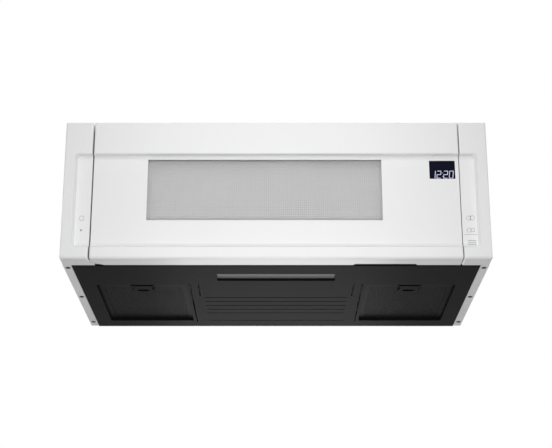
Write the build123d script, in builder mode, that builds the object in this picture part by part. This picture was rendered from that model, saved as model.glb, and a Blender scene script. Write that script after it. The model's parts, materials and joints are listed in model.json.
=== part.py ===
"""An over-the-range microwave oven with a built-in cooktop hood, low-profile, 30 inch class.

Millimetres. +X is to the right of someone facing the oven, +Y points into the kitchen wall and +Z is
up. The origin lies on the wall face at the back, on the centre line, level with the lowest face.
"""

from build123d import *
from math import cos, pi, sin
import os

os.makedirs("parts", exist_ok=True)

# ---- Overall body --------------------------------------------------------------------------------
width = 760.0
height = 260.0
depth = 447.0
sheet = 1.2                      # painted steel of the case, the base and the plates
thin_sheet = 1.0                 # steel of the oven cavity and the door frame
touch = 0.3                      # gap left between pieces that move against each other
over = 1.0                       # how far a cutting solid runs past the face that it cuts
front_y = -depth                 # plane of the door's face
half_width = width / 2
half_turn = 180.0
quarter_turn = 90.0

# ---- Front: door and the two fixed end columns ---------------------------------------------------
column_width = 49.6
column_depth = 39.0
door_clearance = 1.0             # between the closed door and the plate behind it
hinge_seam = 2.5
latch_seam = 1.4
moulding = 2.5                   # wall of the moulded front pieces
edge_radius = 2.5
foot_radius = 4.5                # front edge along the foot of the mouldings
scoop_side = 19.0                # flush border at each end of the dished fascia
scoop_above = 61.8               # flush strip above the ledge
scoop_bottom = 21.0
scoop_depth = 11.0
scoop_draft = 20.0               # of the dish's side walls; the ledge has none
scoop_corner = 12.0              # lower corners of the dish
ledge_corner = 5.0               # upper corners of the dish
ledge_round = 2.0                # front edge of the ledge
cove_height = 13.5               # soft sweep from the dished panel out to the bottom strip

# ---- Window and display --------------------------------------------------------------------------
window_left_border = 97.3        # from the door's left edge
window_right_border = 139.1      # from the door's right edge
window_below = 54.0              # from the foot of the dish
window_above = 7.0               # from the ledge
glass_thickness = 3.0
glass_overlap = 6.0
display_right_border = 6.6       # from the door's right edge
display_width = 46.4
display_height = 35.0
display_above = 9.3              # from the ledge
display_housing_depth = 9.0
display_border = 4.0
board_thickness = 1.6
touch_board_margin = 4.0
touch_board_bottom = 42.0
touch_board_top = 150.0
touch_chip_side = 12.0

# ---- Door inside ---------------------------------------------------------------------------------
door_frame_depth = 28.0          # front face of the pressed frame, behind the door's face
door_frame_border = 10.0         # frame stops this far from the top and bottom, clear of the hinges
screen_thickness = 0.6
choke_width = 18.0
choke_step = 5.5
choke_outer = 14.0               # how far the choke reaches past the cavity mouth
cover_thickness = 1.5
boss_radius = 4.0
boss_inset = 22.0

# ---- Hinges --------------------------------------------------------------------------------------
hinge_in = 6.5                   # pin line from the door's left edge
hinge_back = 7.0                 # pin line from the door's face
pin_radius = 2.5
pin_fit = 0.05
arm_thickness = 2.0
arm_width = 8.4
arm_level = 6.0                  # arm's lower face above the door's bottom edge
arm_slot = 0.6                   # clearance above and below an arm
arm_reach = 9.0                  # sideways run of an arm from its pin to its plate
hinge_plate_height = 30.0
hinge_plate_width = 26.0
hinge_boss_radius = 5.0
hinge_boss_height = 8.0

# ---- Finger pocket under the door ----------------------------------------------------------------
pocket_right_border = 78.3       # from the door's right edge
pocket_width = 112.8
pocket_depth = 7.0
pocket_height = 22.0
pocket_bevel = 2.5
pocket_wall = 1.5

# ---- Hinge corner of the foot: the column's tongue and the wedge-shaped notch beside it -----------
tongue_front = 14.0              # where the door's foot starts to turn away, behind its face
tongue_turn = 28.0               # where the wedge starts
tongue_reach = 7.0               # cut off the door's foot, from its left edge
wedge_reach = 23.3
tongue_gap = 1.0

# ---- Latch and door switches ---------------------------------------------------------------------
latch_in = 32.0                  # from the door's right edge
lever_width = 10.0
lever_thickness = 4.0
lever_bottom = 62.0
lever_above = 5.0                # lever's reach above the ledge
lower_hook = 76.0
upper_hook_below = 15.0          # under the ledge
hook_height = 9.0
hook_width = 4.0
hook_reach = 17.0                # behind the plate that the door closes against
hook_nose = 3.0
latch_travel = 4.0
hook_clearance = 1.5
spring_length = 22.0
spring_radius = 2.0
switch_width = 12.0
switch_height = 16.0
switch_depth = 28.0
plunger_side = 4.0
plunger_proud = 3.0
plunger_depth = 5.0
plunger_fit = 0.2
switch_travel = 1.5
latch_board_width = 46.0
latch_board_depth = 46.0
latch_board_wall = 2.0
latch_board_below = 22.0         # board's reach below the lower hook
latch_board_above = 34.0         # board's reach above the upper hook
switch_lift = 3.0                # switch's centre above its hook's lower edge

# ---- Oven cavity ---------------------------------------------------------------------------------
left_compartment = 130.0         # case's side to the cavity
right_compartment = 160.0
cavity_bottom = 44.0
roof_space = 38.0                # cavity's ceiling below the case's top
cavity_depth = 370.0

# ---- Turntable -----------------------------------------------------------------------------------
tray_radius = 152.0
tray_thickness = 5.0
tray_rim = 9.0
tray_foot_radius = 128.0
roller_radius = 8.0
roller_width = 7.0
roller_circle = 100.0
roller_count = 3
ring_width = 12.0
ring_thickness = 4.0
axle_radius = 2.0
coupler_radius = 18.0
stem_hole = 6.0
stem_radius = 3.5
turntable_motor_radius = 25.0
turntable_motor_height = 17.0
tray_lip = 3.0                   # width of the tray's rim
stem_depth = 12.0                # how deep the stem runs into the motor
coupler_lobe = 7.0
coupler_gap = 2.0                # between the coupler and the cavity floor
hub_gap = 1.0

# ---- Base plate ----------------------------------------------------------------------------------
base_inset = 15.4                # pan's edge in from the case's side
base_corner = 4.0
base_bend = 2.0
rim_wall = 1.0
base_drop = 1.2                  # base hangs this far below the case's turned-in flanges
base_front_gap = 2.0             # behind the front plate
base_rear_gap = 2.0
flange_screw_in = 7.8            # from the case's side
flange_screw_depths = (57.3, 238.5, 416.9)
screw_head_radius = 4.2
screw_head_height = 1.2
screw_radius = 1.9
screw_length = 9.0
screw_fit = 0.1
screw_head_round = 0.5
drive_length = 4.6               # cross recess in the screw's head
drive_width = 0.9
drive_depth = 0.8
recess = 5.0                     # lamp lens sits this far up inside the base
filter_recess = 5.0
filter_side = 30.6               # from the pan's edge to a filter's opening
filter_width = 167.0
filter_front = 158.0
filter_rear = 404.0
lens_side = 59.0                 # from a filter's opening to the lamp's end
lens_front = 92.0
lens_rear = 133.0
long_slot_in = 7.0               # from a filter's opening
long_slot_front = 152.0
long_slot_rear = 411.0
short_slot_in = 22.5             # from a filter's opening
short_slot_front = 137.0
short_slot_rear = 228.0
slot_width = 2.6
louvre_in = 30.0                 # from a filter's opening
louvre_front = 240.0
louvre_pitch = 26.9
louvre_count = 5
last_louvre = 402.0
louvre_width = 3.0

# ---- Grease filters ------------------------------------------------------------------------------
filter_gap = 0.8
filter_pivot_in = 3.0            # pivot bead from the rear edge of its opening
filter_thickness = 8.0
filter_border = 9.0
filter_face = 0.8
pull_band = 27.0                 # wider band of the frame at the front, for the ring pull
mesh_thickness = 5.0
bead_radius = 1.8
bead_length = 24.0
pull_front = 176.0
pull_width = 34.0
pull_length = 50.0
pull_straight = 17.0             # straight sides of the pull before its round end
pull_thickness = 1.6
pull_hole_width = 22.0
pull_hole_length = 12.0
pull_eye_radius = 1.2
pull_pin_radius = 0.6
pull_gap = 0.8                   # between the pull and the filter's face
pull_lug = 4.0

# ---- Cooktop lamp --------------------------------------------------------------------------------
lens_thickness = 2.0
lens_lip = 4.0
lamp_board_gap = 8.0
led_count = 8
led_side = 5.0

# ---- Blower, in the left compartment -------------------------------------------------------------
blower_in = 64.0                 # shaft from the case's side
blower_below = 64.0              # shaft below the cavity's ceiling
wheel_radius = 43.0
wheel_length = 62.0
wheel_gap = 6.0                  # running room between a wheel and its housing
wheel_blades = 20
blade_thickness = 1.2
blade_depth = 9.0
scroll_wall = 1.2
scroll_radius = 55.0
outlet_width = 41.0
blower_motor_radius = 40.0
blower_motor_length = 62.0
blower_front = 132.0
blower_shaft_radius = 4.0
inlet_radius = 34.0
wheel_web = 2.0
wheel_rim = 3.0
wheel_hub_radius = 12.0
wheel_hub_length = 16.0
blade_lean = 30.0
blade_inset = 1.0

# ---- Exhaust outlet in the top -------------------------------------------------------------------
exhaust_width = 254.0
exhaust_length = 83.0
exhaust_rear = 24.0              # from the wall face
damper_wall = 2.0
damper_height = 26.0
flap_gap = 1.0
flap_thickness = 2.0
flap_pivot_in = 20.0
flap_drop = 12.0
flap_pin_radius = 2.0
flap_ledge = 4.0

# ---- Right compartment ---------------------------------------------------------------------------
tray_level = 39.0                # underside of the shelf that carries the electrical parts
waveguide_width = 86.0
waveguide_thickness = 36.0
waveguide_below = 94.0           # its foot below the cavity's ceiling
waveguide_height = 88.0
waveguide_front = 236.0
guide_window = 40.0
cover_border = 6.0               # mica cover past the waveguide's window
mica = 0.4
magnetron_width = 78.0
magnetron_height = 76.0
magnetron_length = 66.0
fin_count = 7
antenna_radius = 7.5
antenna_length = 20.0
yoke_wall = 2.4
magnetron_core_radius = 19.0
transformer_width = 92.0
transformer_length = 84.0
transformer_height = 70.0
transformer_front = 120.0
coil_wall = 9.0
coil_width = 61.0
lamination_inset = 18.0          # core face behind the front and back of the coil
capacitor_radius = 17.0
capacitor_length = 52.0
capacitor_height = 84.0
capacitor_front = 56.0
capacitor_gap = 1.6              # from the case's side
fan_radius = 46.0
fan_blades = 5
fan_front = 385.0
fan_in = 80.0                    # from the case's side
fan_z = 100.0
fan_depth = 16.0
fan_motor_side = 52.0
fan_motor_depth = 28.0
fan_border = 8.0
fan_tip_gap = 2.0
fan_arm_height = 14.0
fan_arm_bore = 4.0
fan_hub = 12.0
fan_hub_gap = 2.0
fan_shaft_radius = 2.0
fan_shaft_seat = 14.0            # how deep the shaft runs into its motor
blade_pitch = 28.0
blade_chord = 25.3
blade_sheet = 1.4
blade_root = 1.0                 # how far a blade is sunk into the hub
power_board_height = 96.0
power_board_length = 150.0
power_board_front = 90.0
power_board_bottom = 120.0
board_standoff = 6.0
relay_rows = 2
relay_columns = 4
relay_side = 16.0
lamp_front = 110.0
lamp_below = 22.0                # below the cavity's ceiling
bulb_radius = 9.0
bulb_length = 22.0
bulb_neck = 4.0
bulb_nose = 5.4
lamp_base = 24.0
lamp_hole_radius = 1.5
lamp_hole_pitch = 6.0
lamp_hole_rows = 4

# ---- Charcoal filter, above the cavity -----------------------------------------------------------
charcoal_width = 250.0
charcoal_length = 180.0
charcoal_thickness = 13.0
charcoal_front = 90.0

# ---- Fixing points -------------------------------------------------------------------------------
top_bolt_spacing = 508.0
top_bolt_front = 120.0
top_bolt_radius = 3.5
nut_across = 11.1
nut_height = 5.6
nut_sides = 6
wall_slot_spacing = 610.0
wall_slot_height = 30.0
wall_slot_length = 32.0
wall_slot_width = 8.0
grommet_in = 50.0                # from the case's side
grommet_rear = 62.0
grommet_radius = 13.0
grommet_bore = 5.0
grommet_lip = 2.5
grommet_thickness = 6.0

# ---- Places that follow from the sizes above -----------------------------------------------------
door_left = -half_width + column_width + hinge_seam
door_right = half_width - column_width - latch_seam
door_rear = front_y + column_depth - door_clearance
scoop_top = height - scoop_above
window_left = door_left + window_left_border
window_right = door_right - window_right_border
window_bottom = scoop_bottom + window_below
window_top = scoop_top - window_above
display_right = door_right - display_right_border
display_left = display_right - display_width
display_top = scoop_top - display_above
display_bottom = display_top - display_height
pocket_right = door_right - pocket_right_border
pocket_left = pocket_right - pocket_width
latch_x = door_right - latch_in
lever_top = scoop_top + lever_above
hook_heights = (lower_hook, scoop_top - upper_hook_below)
plate_front = front_y + column_depth
plate_rear = plate_front + sheet
case_top = height - sheet
case_inside = half_width - sheet
base_half_width = half_width - base_inset
flange_inner = base_half_width + touch
flange_screw_x = half_width - flange_screw_in
cavity_left = -half_width + left_compartment
cavity_right = half_width - right_compartment
cavity_centre_x = (cavity_left + cavity_right) / 2
cavity_top = height - roof_space
cavity_rear = plate_rear + cavity_depth
cavity_mid_y = plate_rear + cavity_depth / 2
cavity_wall_right = cavity_right + thin_sheet
cavity_wall_left = cavity_left - thin_sheet
cavity_roof = cavity_top + thin_sheet
panel_y = front_y + scoop_depth
panel_back = panel_y + moulding
frame_y = front_y + door_frame_depth
cover_y = door_rear - cover_thickness
hinge_x = door_left + hinge_in
hinge_y = front_y + hinge_back
flange_z = base_drop + sheet
shelf_z = tray_level + sheet
filter_outer = base_half_width - filter_side
filter_inner = filter_outer - filter_width
lens_half = filter_inner - lens_side
long_slot_x = filter_inner - long_slot_in
short_slot_x = filter_inner - short_slot_in
louvre_half = filter_inner - louvre_in
blower_x = -half_width + blower_in
blower_z = cavity_top - blower_below
waveguide_bottom = cavity_top - waveguide_below
fan_x = half_width - fan_in
lamp_z = cavity_top - lamp_below
grommet_x = half_width - grommet_in
filter_pivot_y = front_y + filter_rear - filter_pivot_in
filter_bottom = filter_recess
filter_pivot_z = filter_bottom + filter_thickness / 2


# ---- Small makers used by many pieces ------------------------------------------------------------
def block(x, y, z, mode=Mode.ADD):
    """A box between a low and a high limit along each axis."""
    with Locations(((x[0] + x[1]) / 2, (y[0] + y[1]) / 2, (z[0] + z[1]) / 2)):
        Box(x[1] - x[0], y[1] - y[0], z[1] - z[0], mode=mode)


def rod(radius, start, end, mode=Mode.ADD):
    """A round bar from one point to another."""
    run = Vector(*end) - Vector(*start)
    with Locations(Plane(origin=start, z_dir=run)):
        Cylinder(radius, run.length, align=(Align.CENTER, Align.CENTER, Align.MIN), mode=mode)


def mirrored(piece):
    """The same piece on the other side of the centre line."""
    with BuildPart() as other:
        mirror(piece, about=Plane.YZ)
    return other.part


# ---- The dished fascia shared by the door and the end columns ------------------------------------
def scoop_hollow(grow):
    """The air in front of the dished fascia; grow thickens it by a wall for the inside face."""
    start_y = front_y + grow
    deep_y = start_y + scoop_depth
    low = scoop_bottom - grow
    high = scoop_top + grow
    with BuildPart() as hollow:
        # The upper edge is drawn past the ledge, which then trims it square.
        above = high + scoop_corner + scoop_depth
        with BuildSketch(Plane((0, start_y, 0), x_dir=(1, 0, 0), z_dir=(0, 1, 0))):
            with Locations((0, -(above + low) / 2)):
                RectangleRounded(width - 2 * scoop_side + 2 * grow, above - low, scoop_corner)
        extrude(amount=scoop_depth, taper=scoop_draft)
        with BuildSketch(Plane.YZ.offset(-half_width)):
            with BuildLine():
                TangentArc((deep_y, low + cove_height), (start_y, low), tangent=(0, -1))
                Polyline(
                    (start_y, low),
                    (start_y - over, low),
                    (start_y - over, high + ledge_round),
                    (start_y, high + ledge_round),
                )
                RadiusArc((start_y, high + ledge_round), (start_y + ledge_round, high), -ledge_round)
                Polyline((start_y + ledge_round, high), (deep_y, high), (deep_y, low + cove_height))
            make_face()
        extrude(amount=width, mode=Mode.INTERSECT)
        ledge_edges = hollow.edges().filter_by_position(Axis.Z, high, high)
        fillet(ledge_edges.filter_by(Axis.X, reverse=True), radius=ledge_corner)
    return hollow.part


def front_shell(x_low, x_high, rear):
    """A moulded shell with the dished face, open at the back."""
    with BuildPart() as core:
        block(
            (x_low + moulding, x_high - moulding),
            (front_y + moulding, rear + over),
            (moulding, height - moulding),
        )
        add(scoop_hollow(moulding), mode=Mode.SUBTRACT)
    with BuildPart() as shell:
        block((x_low, x_high), (front_y, rear), (0, height))
        foot_edge = shell.edges().filter_by_position(Axis.Y, front_y, front_y).group_by(Axis.Z)[0]
        fillet(foot_edge, radius=foot_radius)
        rim_edges = shell.edges().filter_by_position(Axis.Y, front_y, front_y).group_by(Axis.Z)[1:]
        fillet(rim_edges[0] + rim_edges[1], radius=edge_radius)
        add(scoop_hollow(0), mode=Mode.SUBTRACT)
        add(core.part, mode=Mode.SUBTRACT)
    return shell.part


# ---- Left end column -----------------------------------------------------------------------------
column_edge = -half_width + column_width
with BuildPart() as left_end_column:
    add(front_shell(-half_width, column_edge, plate_front))
    # A flat tongue reaches under the hinge corner of the door.
    with BuildSketch(Plane.XY):
        with BuildLine():
            Polyline(
                (column_edge - moulding, front_y + tongue_front + tongue_gap),
                (column_edge, front_y + tongue_front + tongue_gap),
                (door_left + tongue_reach - tongue_gap, front_y + tongue_turn + tongue_gap),
                (door_left + tongue_reach - tongue_gap, plate_front),
                (column_edge - moulding, plate_front),
                close=True,
            )
        make_face()
    extrude(amount=moulding)
left_end_column.part.label = "left_end_column"
export_step(left_end_column.part, "parts/left_end_column.step")

# ---- Right end column ----------------------------------------------------------------------------
with BuildPart() as right_end_column:
    add(front_shell(half_width - column_width, half_width, plate_front))
right_end_column.part.label = "right_end_column"
export_step(right_end_column.part, "parts/right_end_column.step")

# ---- Touch boards, behind the keys printed on each column ----------------------------------------
with BuildPart() as touch_boards:
    for side in (-1, 1):
        board_limits = sorted(
            (
                side * (half_width - column_width + moulding),
                side * (half_width - scoop_side - touch_board_margin - moulding),
            )
        )
        block(
            board_limits,
            (panel_back, panel_back + board_thickness),
            (touch_board_bottom, touch_board_top),
        )
        chip_z = (touch_board_bottom + touch_board_top) / 2
        chip_x = sum(board_limits) / 2
        block(
            (chip_x - touch_chip_side / 2, chip_x + touch_chip_side / 2),
            (panel_back + board_thickness, panel_back + 2 * board_thickness),
            (chip_z, chip_z + touch_chip_side),
        )
touch_boards.part.label = "touch_boards"
export_step(touch_boards.part, "parts/touch_boards.step")

# ---- Door front: moulded face with its window, display opening, pocket and hinge bosses ----------
boss_levels = ((scoop_bottom + boss_inset, panel_back), (height - boss_inset, front_y + moulding))
arm_levels = (arm_level, height - arm_level - arm_thickness)
with BuildPart() as door_front:
    add(front_shell(door_left, door_right, door_rear))
    # Screw bosses that carry the pressed frame.
    for boss_x in (door_left + boss_inset, door_right - boss_inset):
        for boss_z, wall_back in boss_levels:
            rod(boss_radius, (boss_x, wall_back - moulding / 2, boss_z), (boss_x, frame_y, boss_z))
    # Window and display openings.
    block(
        (window_left, window_right),
        (front_y, panel_back + over),
        (window_bottom, window_top),
        mode=Mode.SUBTRACT,
    )
    block(
        (display_left, display_right),
        (front_y, panel_back + over),
        (display_bottom, display_top),
        mode=Mode.SUBTRACT,
    )
    # Each hinge: a boss on the far side of the arm, a bore for the pin and a slot for the arm.
    for level, away in zip(arm_levels, (1, -1)):
        near = level + arm_thickness / 2 + away * (arm_thickness / 2 + touch)
        far = near + away * hinge_boss_height
        edge = height / 2 - away * height / 2
        shelf = level + arm_thickness / 2 - away * (arm_thickness / 2 + touch)
        rod(hinge_boss_radius, (hinge_x, hinge_y, near), (hinge_x, hinge_y, far))
        rod(hinge_boss_radius, (hinge_x, hinge_y, edge + away * moulding / 2), (hinge_x, hinge_y, shelf))
        # Whatever a round boss pushes out past the door's side is cut back flush.
        block(
            (door_left - hinge_boss_radius, door_left),
            (front_y, door_rear),
            (min(far, edge), max(far, edge)),
            mode=Mode.SUBTRACT,
        )
        block(
            (door_left - over, door_left + moulding + over),
            (hinge_y - arm_width / 2 - touch, door_rear + over),
            (level - arm_slot, level + arm_thickness + arm_slot),
            mode=Mode.SUBTRACT,
        )
        bore_start = edge + away * moulding / 2
        rod(
            pin_radius + pin_fit,
            (hinge_x, hinge_y, bore_start),
            (hinge_x, hinge_y, far + away),
            mode=Mode.SUBTRACT,
        )
    # The hinge corner of the foot and the finger pocket, both cut through the bottom wall.
    with BuildSketch(Plane.XY.offset(-over)):
        with BuildLine():
            Polyline(
                (door_left - over, front_y + tongue_front),
                (door_left, front_y + tongue_front),
                (door_left + tongue_reach, front_y + tongue_turn),
                (door_left + wedge_reach, door_rear),
                (door_left + wedge_reach, door_rear + over),
                (door_left - over, door_rear + over),
                close=True,
            )
        make_face()
    extrude(amount=moulding + 2 * over, mode=Mode.SUBTRACT)
    with BuildSketch(Plane.XY.offset(-over)):
        with BuildLine():
            Polyline(
                (pocket_left, door_rear + over),
                (pocket_left, door_rear),
                (pocket_left + pocket_bevel, door_rear - pocket_depth),
                (pocket_right - pocket_bevel, door_rear - pocket_depth),
                (pocket_right, door_rear),
                (pocket_right, door_rear + over),
                close=True,
            )
        make_face()
    extrude(amount=moulding + 2 * over, mode=Mode.SUBTRACT)
door_front.part.label = "door_front"
export_step(door_front.part, "parts/door_front.step")

# ---- Finger pocket liner -------------------------------------------------------------------------
with BuildPart() as handle_pocket:
    with BuildSketch(Plane.XY.offset(moulding)):
        with BuildLine():
            Polyline(
                (pocket_left - pocket_wall, door_rear),
                (pocket_left - pocket_wall, door_rear - pocket_wall),
                (pocket_left + pocket_bevel - pocket_wall, door_rear - pocket_depth - pocket_wall),
                (pocket_right - pocket_bevel + pocket_wall, door_rear - pocket_depth - pocket_wall),
                (pocket_right + pocket_wall, door_rear - pocket_wall),
                (pocket_right + pocket_wall, door_rear),
                close=True,
            )
        make_face()
    extrude(amount=pocket_height)
    with BuildSketch(Plane.XY.offset(moulding)):
        with BuildLine():
            Polyline(
                (pocket_left, door_rear + over),
                (pocket_left, door_rear),
                (pocket_left + pocket_bevel, door_rear - pocket_depth),
                (pocket_right - pocket_bevel, door_rear - pocket_depth),
                (pocket_right, door_rear),
                (pocket_right, door_rear + over),
                close=True,
            )
        make_face()
    extrude(amount=pocket_height - pocket_wall, mode=Mode.SUBTRACT)
handle_pocket.part.label = "handle_pocket"
export_step(handle_pocket.part, "parts/handle_pocket.step")

# ---- Window glass, bonded behind the opening -----------------------------------------------------
with BuildPart() as window_glass:
    block(
        (window_left - glass_overlap, window_right + glass_overlap),
        (panel_back, panel_back + glass_thickness),
        (window_bottom - glass_overlap, window_top + glass_overlap),
    )
window_glass.part.label = "window_glass"
export_step(window_glass.part, "parts/window_glass.step")

# ---- Perforated screen that keeps the microwaves in, on the front of the frame -------------------
with BuildPart() as window_screen:
    block(
        (window_left - glass_overlap, window_right + glass_overlap),
        (frame_y - screen_thickness, frame_y),
        (window_bottom - glass_overlap, window_top + glass_overlap),
    )
window_screen.part.label = "window_screen"
export_step(window_screen.part, "parts/window_screen.step")

# ---- Pressed steel door frame with its choke channel ---------------------------------------------
choke_rear = frame_y + thin_sheet + choke_step
with BuildPart() as door_frame:
    block(
        (door_left + moulding, door_right - moulding),
        (frame_y, frame_y + thin_sheet),
        (door_frame_border, height - door_frame_border),
    )
    block(
        (cavity_left - choke_outer, cavity_right + choke_outer),
        (frame_y + thin_sheet, choke_rear),
        (cavity_bottom - choke_outer, cavity_top + choke_outer),
    )
    block(
        (cavity_left - choke_outer + thin_sheet, cavity_right + choke_outer - thin_sheet),
        (frame_y + thin_sheet, choke_rear),
        (cavity_bottom - choke_outer + thin_sheet, cavity_top + choke_outer - thin_sheet),
        mode=Mode.SUBTRACT,
    )
    block(
        (window_left, window_right),
        (frame_y - over, frame_y + thin_sheet + over),
        (window_bottom, window_top),
        mode=Mode.SUBTRACT,
    )
door_frame.part.label = "door_frame"
export_step(door_frame.part, "parts/door_frame.step")

# ---- Inner door cover over the choke -------------------------------------------------------------
pocket_cut = pocket_wall + touch
with BuildPart() as choke_cover:
    block(
        (door_left + moulding, door_right - moulding),
        (cover_y, door_rear),
        (door_frame_border, height - door_frame_border),
    )
    block(
        (window_left - choke_width / 2, window_right + choke_width / 2),
        (cover_y - over, door_rear + over),
        (window_bottom - choke_width / 2, window_top + choke_width / 2),
        mode=Mode.SUBTRACT,
    )
    # A lip runs forward round the window down to the frame.
    block(
        (window_left - choke_width / 2 - cover_thickness, window_right + choke_width / 2 + cover_thickness),
        (frame_y + thin_sheet, cover_y),
        (window_bottom - choke_width / 2 - cover_thickness, window_top + choke_width / 2 + cover_thickness),
    )
    block(
        (window_left - choke_width / 2, window_right + choke_width / 2),
        (frame_y, door_rear + over),
        (window_bottom - choke_width / 2, window_top + choke_width / 2),
        mode=Mode.SUBTRACT,
    )
    block(
        (pocket_left - pocket_cut, pocket_right + pocket_cut),
        (cover_y - over, door_rear + over),
        (0, moulding + pocket_height + touch),
        mode=Mode.SUBTRACT,
    )
    for hook_z in hook_heights:
        block(
            (latch_x - hook_width / 2 - hook_clearance, latch_x + hook_width / 2 + hook_clearance),
            (cover_y - over, door_rear + over),
            (hook_z - hook_nose - hook_clearance, hook_z + hook_height + latch_travel + hook_clearance),
            mode=Mode.SUBTRACT,
        )
choke_cover.part.label = "choke_cover"
export_step(choke_cover.part, "parts/choke_cover.step")

# ---- Latch lever with its two hooks, between the frame and the cover -----------------------------
lever_y = frame_y + thin_sheet + touch
hook_tip = plate_front + hook_reach
with BuildPart() as latch_lever:
    block(
        (latch_x - lever_width / 2, latch_x + lever_width / 2),
        (lever_y, lever_y + lever_thickness),
        (lever_bottom, lever_top),
    )
    for hook_z in hook_heights:
        with BuildSketch(Plane.YZ.offset(latch_x - hook_width / 2)):
            with BuildLine():
                Polyline(
                    (lever_y, hook_z),
                    (hook_tip - hook_height, hook_z),
                    (hook_tip - hook_height, hook_z - hook_nose),
                    (hook_tip - hook_nose, hook_z - hook_nose),
                    (hook_tip, hook_z + hook_nose),
                    (hook_tip, hook_z + hook_height),
                    (lever_y, hook_z + hook_height),
                    close=True,
                )
            make_face()
        extrude(amount=hook_width)
latch_lever.part.label = "latch_lever"
export_step(latch_lever.part, "parts/latch_lever.step")

# ---- Latch return spring, hooked between the lever and a peg on the frame ------------------------
spring_y = lever_y + lever_thickness / 2
with BuildPart() as latch_spring:
    rod(
        spring_radius,
        (latch_x, spring_y, lever_bottom - spring_length),
        (latch_x, spring_y, lever_bottom),
    )
latch_spring.part.label = "latch_spring"
export_step(latch_spring.part, "parts/latch_spring.step")

# ---- Display lens and the display module behind it -----------------------------------------------
with BuildPart() as display_lens:
    block(
        (display_left, display_right),
        (panel_y, panel_back),
        (display_bottom, display_top),
    )
display_lens.part.label = "display_lens"
export_step(display_lens.part, "parts/display_lens.step")

with BuildPart() as display_board:
    block(
        (display_left - display_border, display_right + display_border),
        (panel_back, panel_back + display_housing_depth),
        (display_bottom - display_border, display_top + display_border),
    )
    block(
        (display_left - 2 * display_border, display_right + display_border),
        (panel_back + display_housing_depth, panel_back + display_housing_depth + board_thickness),
        (display_bottom - 2 * display_border, display_top + display_border),
    )
display_board.part.label = "display_board"
export_step(display_board.part, "parts/display_board.step")

# ---- Hinge brackets: a plate behind the front plate and an arm forward to the pin ----------------
bracket_x = hinge_x + arm_reach
with BuildPart() as hinge_brackets:
    for level, away in zip(arm_levels, (1, -1)):
        with BuildSketch(Plane.XY.offset(level)):
            with BuildLine():
                CenterArc((hinge_x, hinge_y), arm_width / 2, half_turn, half_turn)
                Polyline(
                    (hinge_x + arm_width / 2, hinge_y),
                    (bracket_x + arm_width / 2, plate_front - over),
                    (bracket_x + arm_width / 2, plate_rear + sheet),
                    (bracket_x - arm_width / 2, plate_rear + sheet),
                    (bracket_x - arm_width / 2, plate_front - over),
                    (hinge_x - arm_width / 2, hinge_y),
                )
            make_face()
        extrude(amount=arm_thickness)
        plate_edge = level + arm_thickness / 2 - away * arm_thickness / 2
        plate_end = plate_edge + away * hinge_plate_height
        block(
            (bracket_x - hinge_plate_width / 2, bracket_x + hinge_plate_width / 2),
            (plate_rear, plate_rear + arm_thickness),
            (min(plate_edge, plate_end), max(plate_edge, plate_end)),
        )
        rod(
            pin_radius,
            (hinge_x, hinge_y, level),
            (hinge_x, hinge_y, level + arm_thickness),
            mode=Mode.SUBTRACT,
        )
hinge_brackets.part.label = "hinge_brackets"
export_step(hinge_brackets.part, "parts/hinge_brackets.step")

with BuildPart() as hinge_pins:
    for level, away in zip(arm_levels, (1, -1)):
        middle = level + arm_thickness / 2
        low_end = middle - away * (arm_thickness / 2 + touch + moulding / 2)
        high_end = middle + away * (arm_thickness / 2 + hinge_boss_height)
        rod(pin_radius, (hinge_x, hinge_y, low_end), (hinge_x, hinge_y, high_end))
hinge_pins.part.label = "hinge_pins"
export_step(hinge_pins.part, "parts/hinge_pins.step")

# ---- Outer case: top, sides and the flanges turned in under them ---------------------------------
exhaust_back = -exhaust_rear
exhaust_front = exhaust_back - exhaust_length
top_bolt_y = front_y + top_bolt_front
with BuildPart() as outer_case:
    block((-half_width, half_width), (plate_front, 0), (base_drop, height))
    side_edges = outer_case.edges().filter_by(Axis.Y).group_by(Axis.Z)[-1]
    fillet(side_edges, radius=edge_radius)
    block(
        (-case_inside, case_inside),
        (plate_front - over, over),
        (flange_z, case_top),
        mode=Mode.SUBTRACT,
    )
    block(
        (-flange_inner, flange_inner),
        (plate_front - over, over),
        (base_drop - over, flange_z + over),
        mode=Mode.SUBTRACT,
    )
    block(
        (-exhaust_width / 2, exhaust_width / 2),
        (exhaust_front, exhaust_back),
        (case_top - over, height + over),
        mode=Mode.SUBTRACT,
    )
    for side in (-1, 1):
        rod(
            top_bolt_radius,
            (side * top_bolt_spacing / 2, top_bolt_y, case_top - over),
            (side * top_bolt_spacing / 2, top_bolt_y, height + over),
            mode=Mode.SUBTRACT,
        )
        for screw_depth in flange_screw_depths:
            rod(
                screw_radius + screw_fit,
                (side * flange_screw_x, front_y + screw_depth, base_drop - over),
                (side * flange_screw_x, front_y + screw_depth, flange_z + over),
                mode=Mode.SUBTRACT,
            )
    rod(
        grommet_radius - grommet_lip,
        (grommet_x, -grommet_rear, case_top - over),
        (grommet_x, -grommet_rear, height + over),
        mode=Mode.SUBTRACT,
    )
outer_case.part.label = "outer_case"
export_step(outer_case.part, "parts/outer_case.step")

# ---- Nuts under the top, for the two bolts that come down through the cabinet --------------------
with BuildPart() as top_nuts:
    with BuildSketch(Plane.XY.offset(case_top - nut_height)):
        with Locations((-top_bolt_spacing / 2, top_bolt_y), (top_bolt_spacing / 2, top_bolt_y)):
            RegularPolygon(nut_across / 2, nut_sides, major_radius=False)
            Circle(top_bolt_radius - touch, mode=Mode.SUBTRACT)
    extrude(amount=nut_height)
top_nuts.part.label = "top_nuts"
export_step(top_nuts.part, "parts/top_nuts.step")

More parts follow.
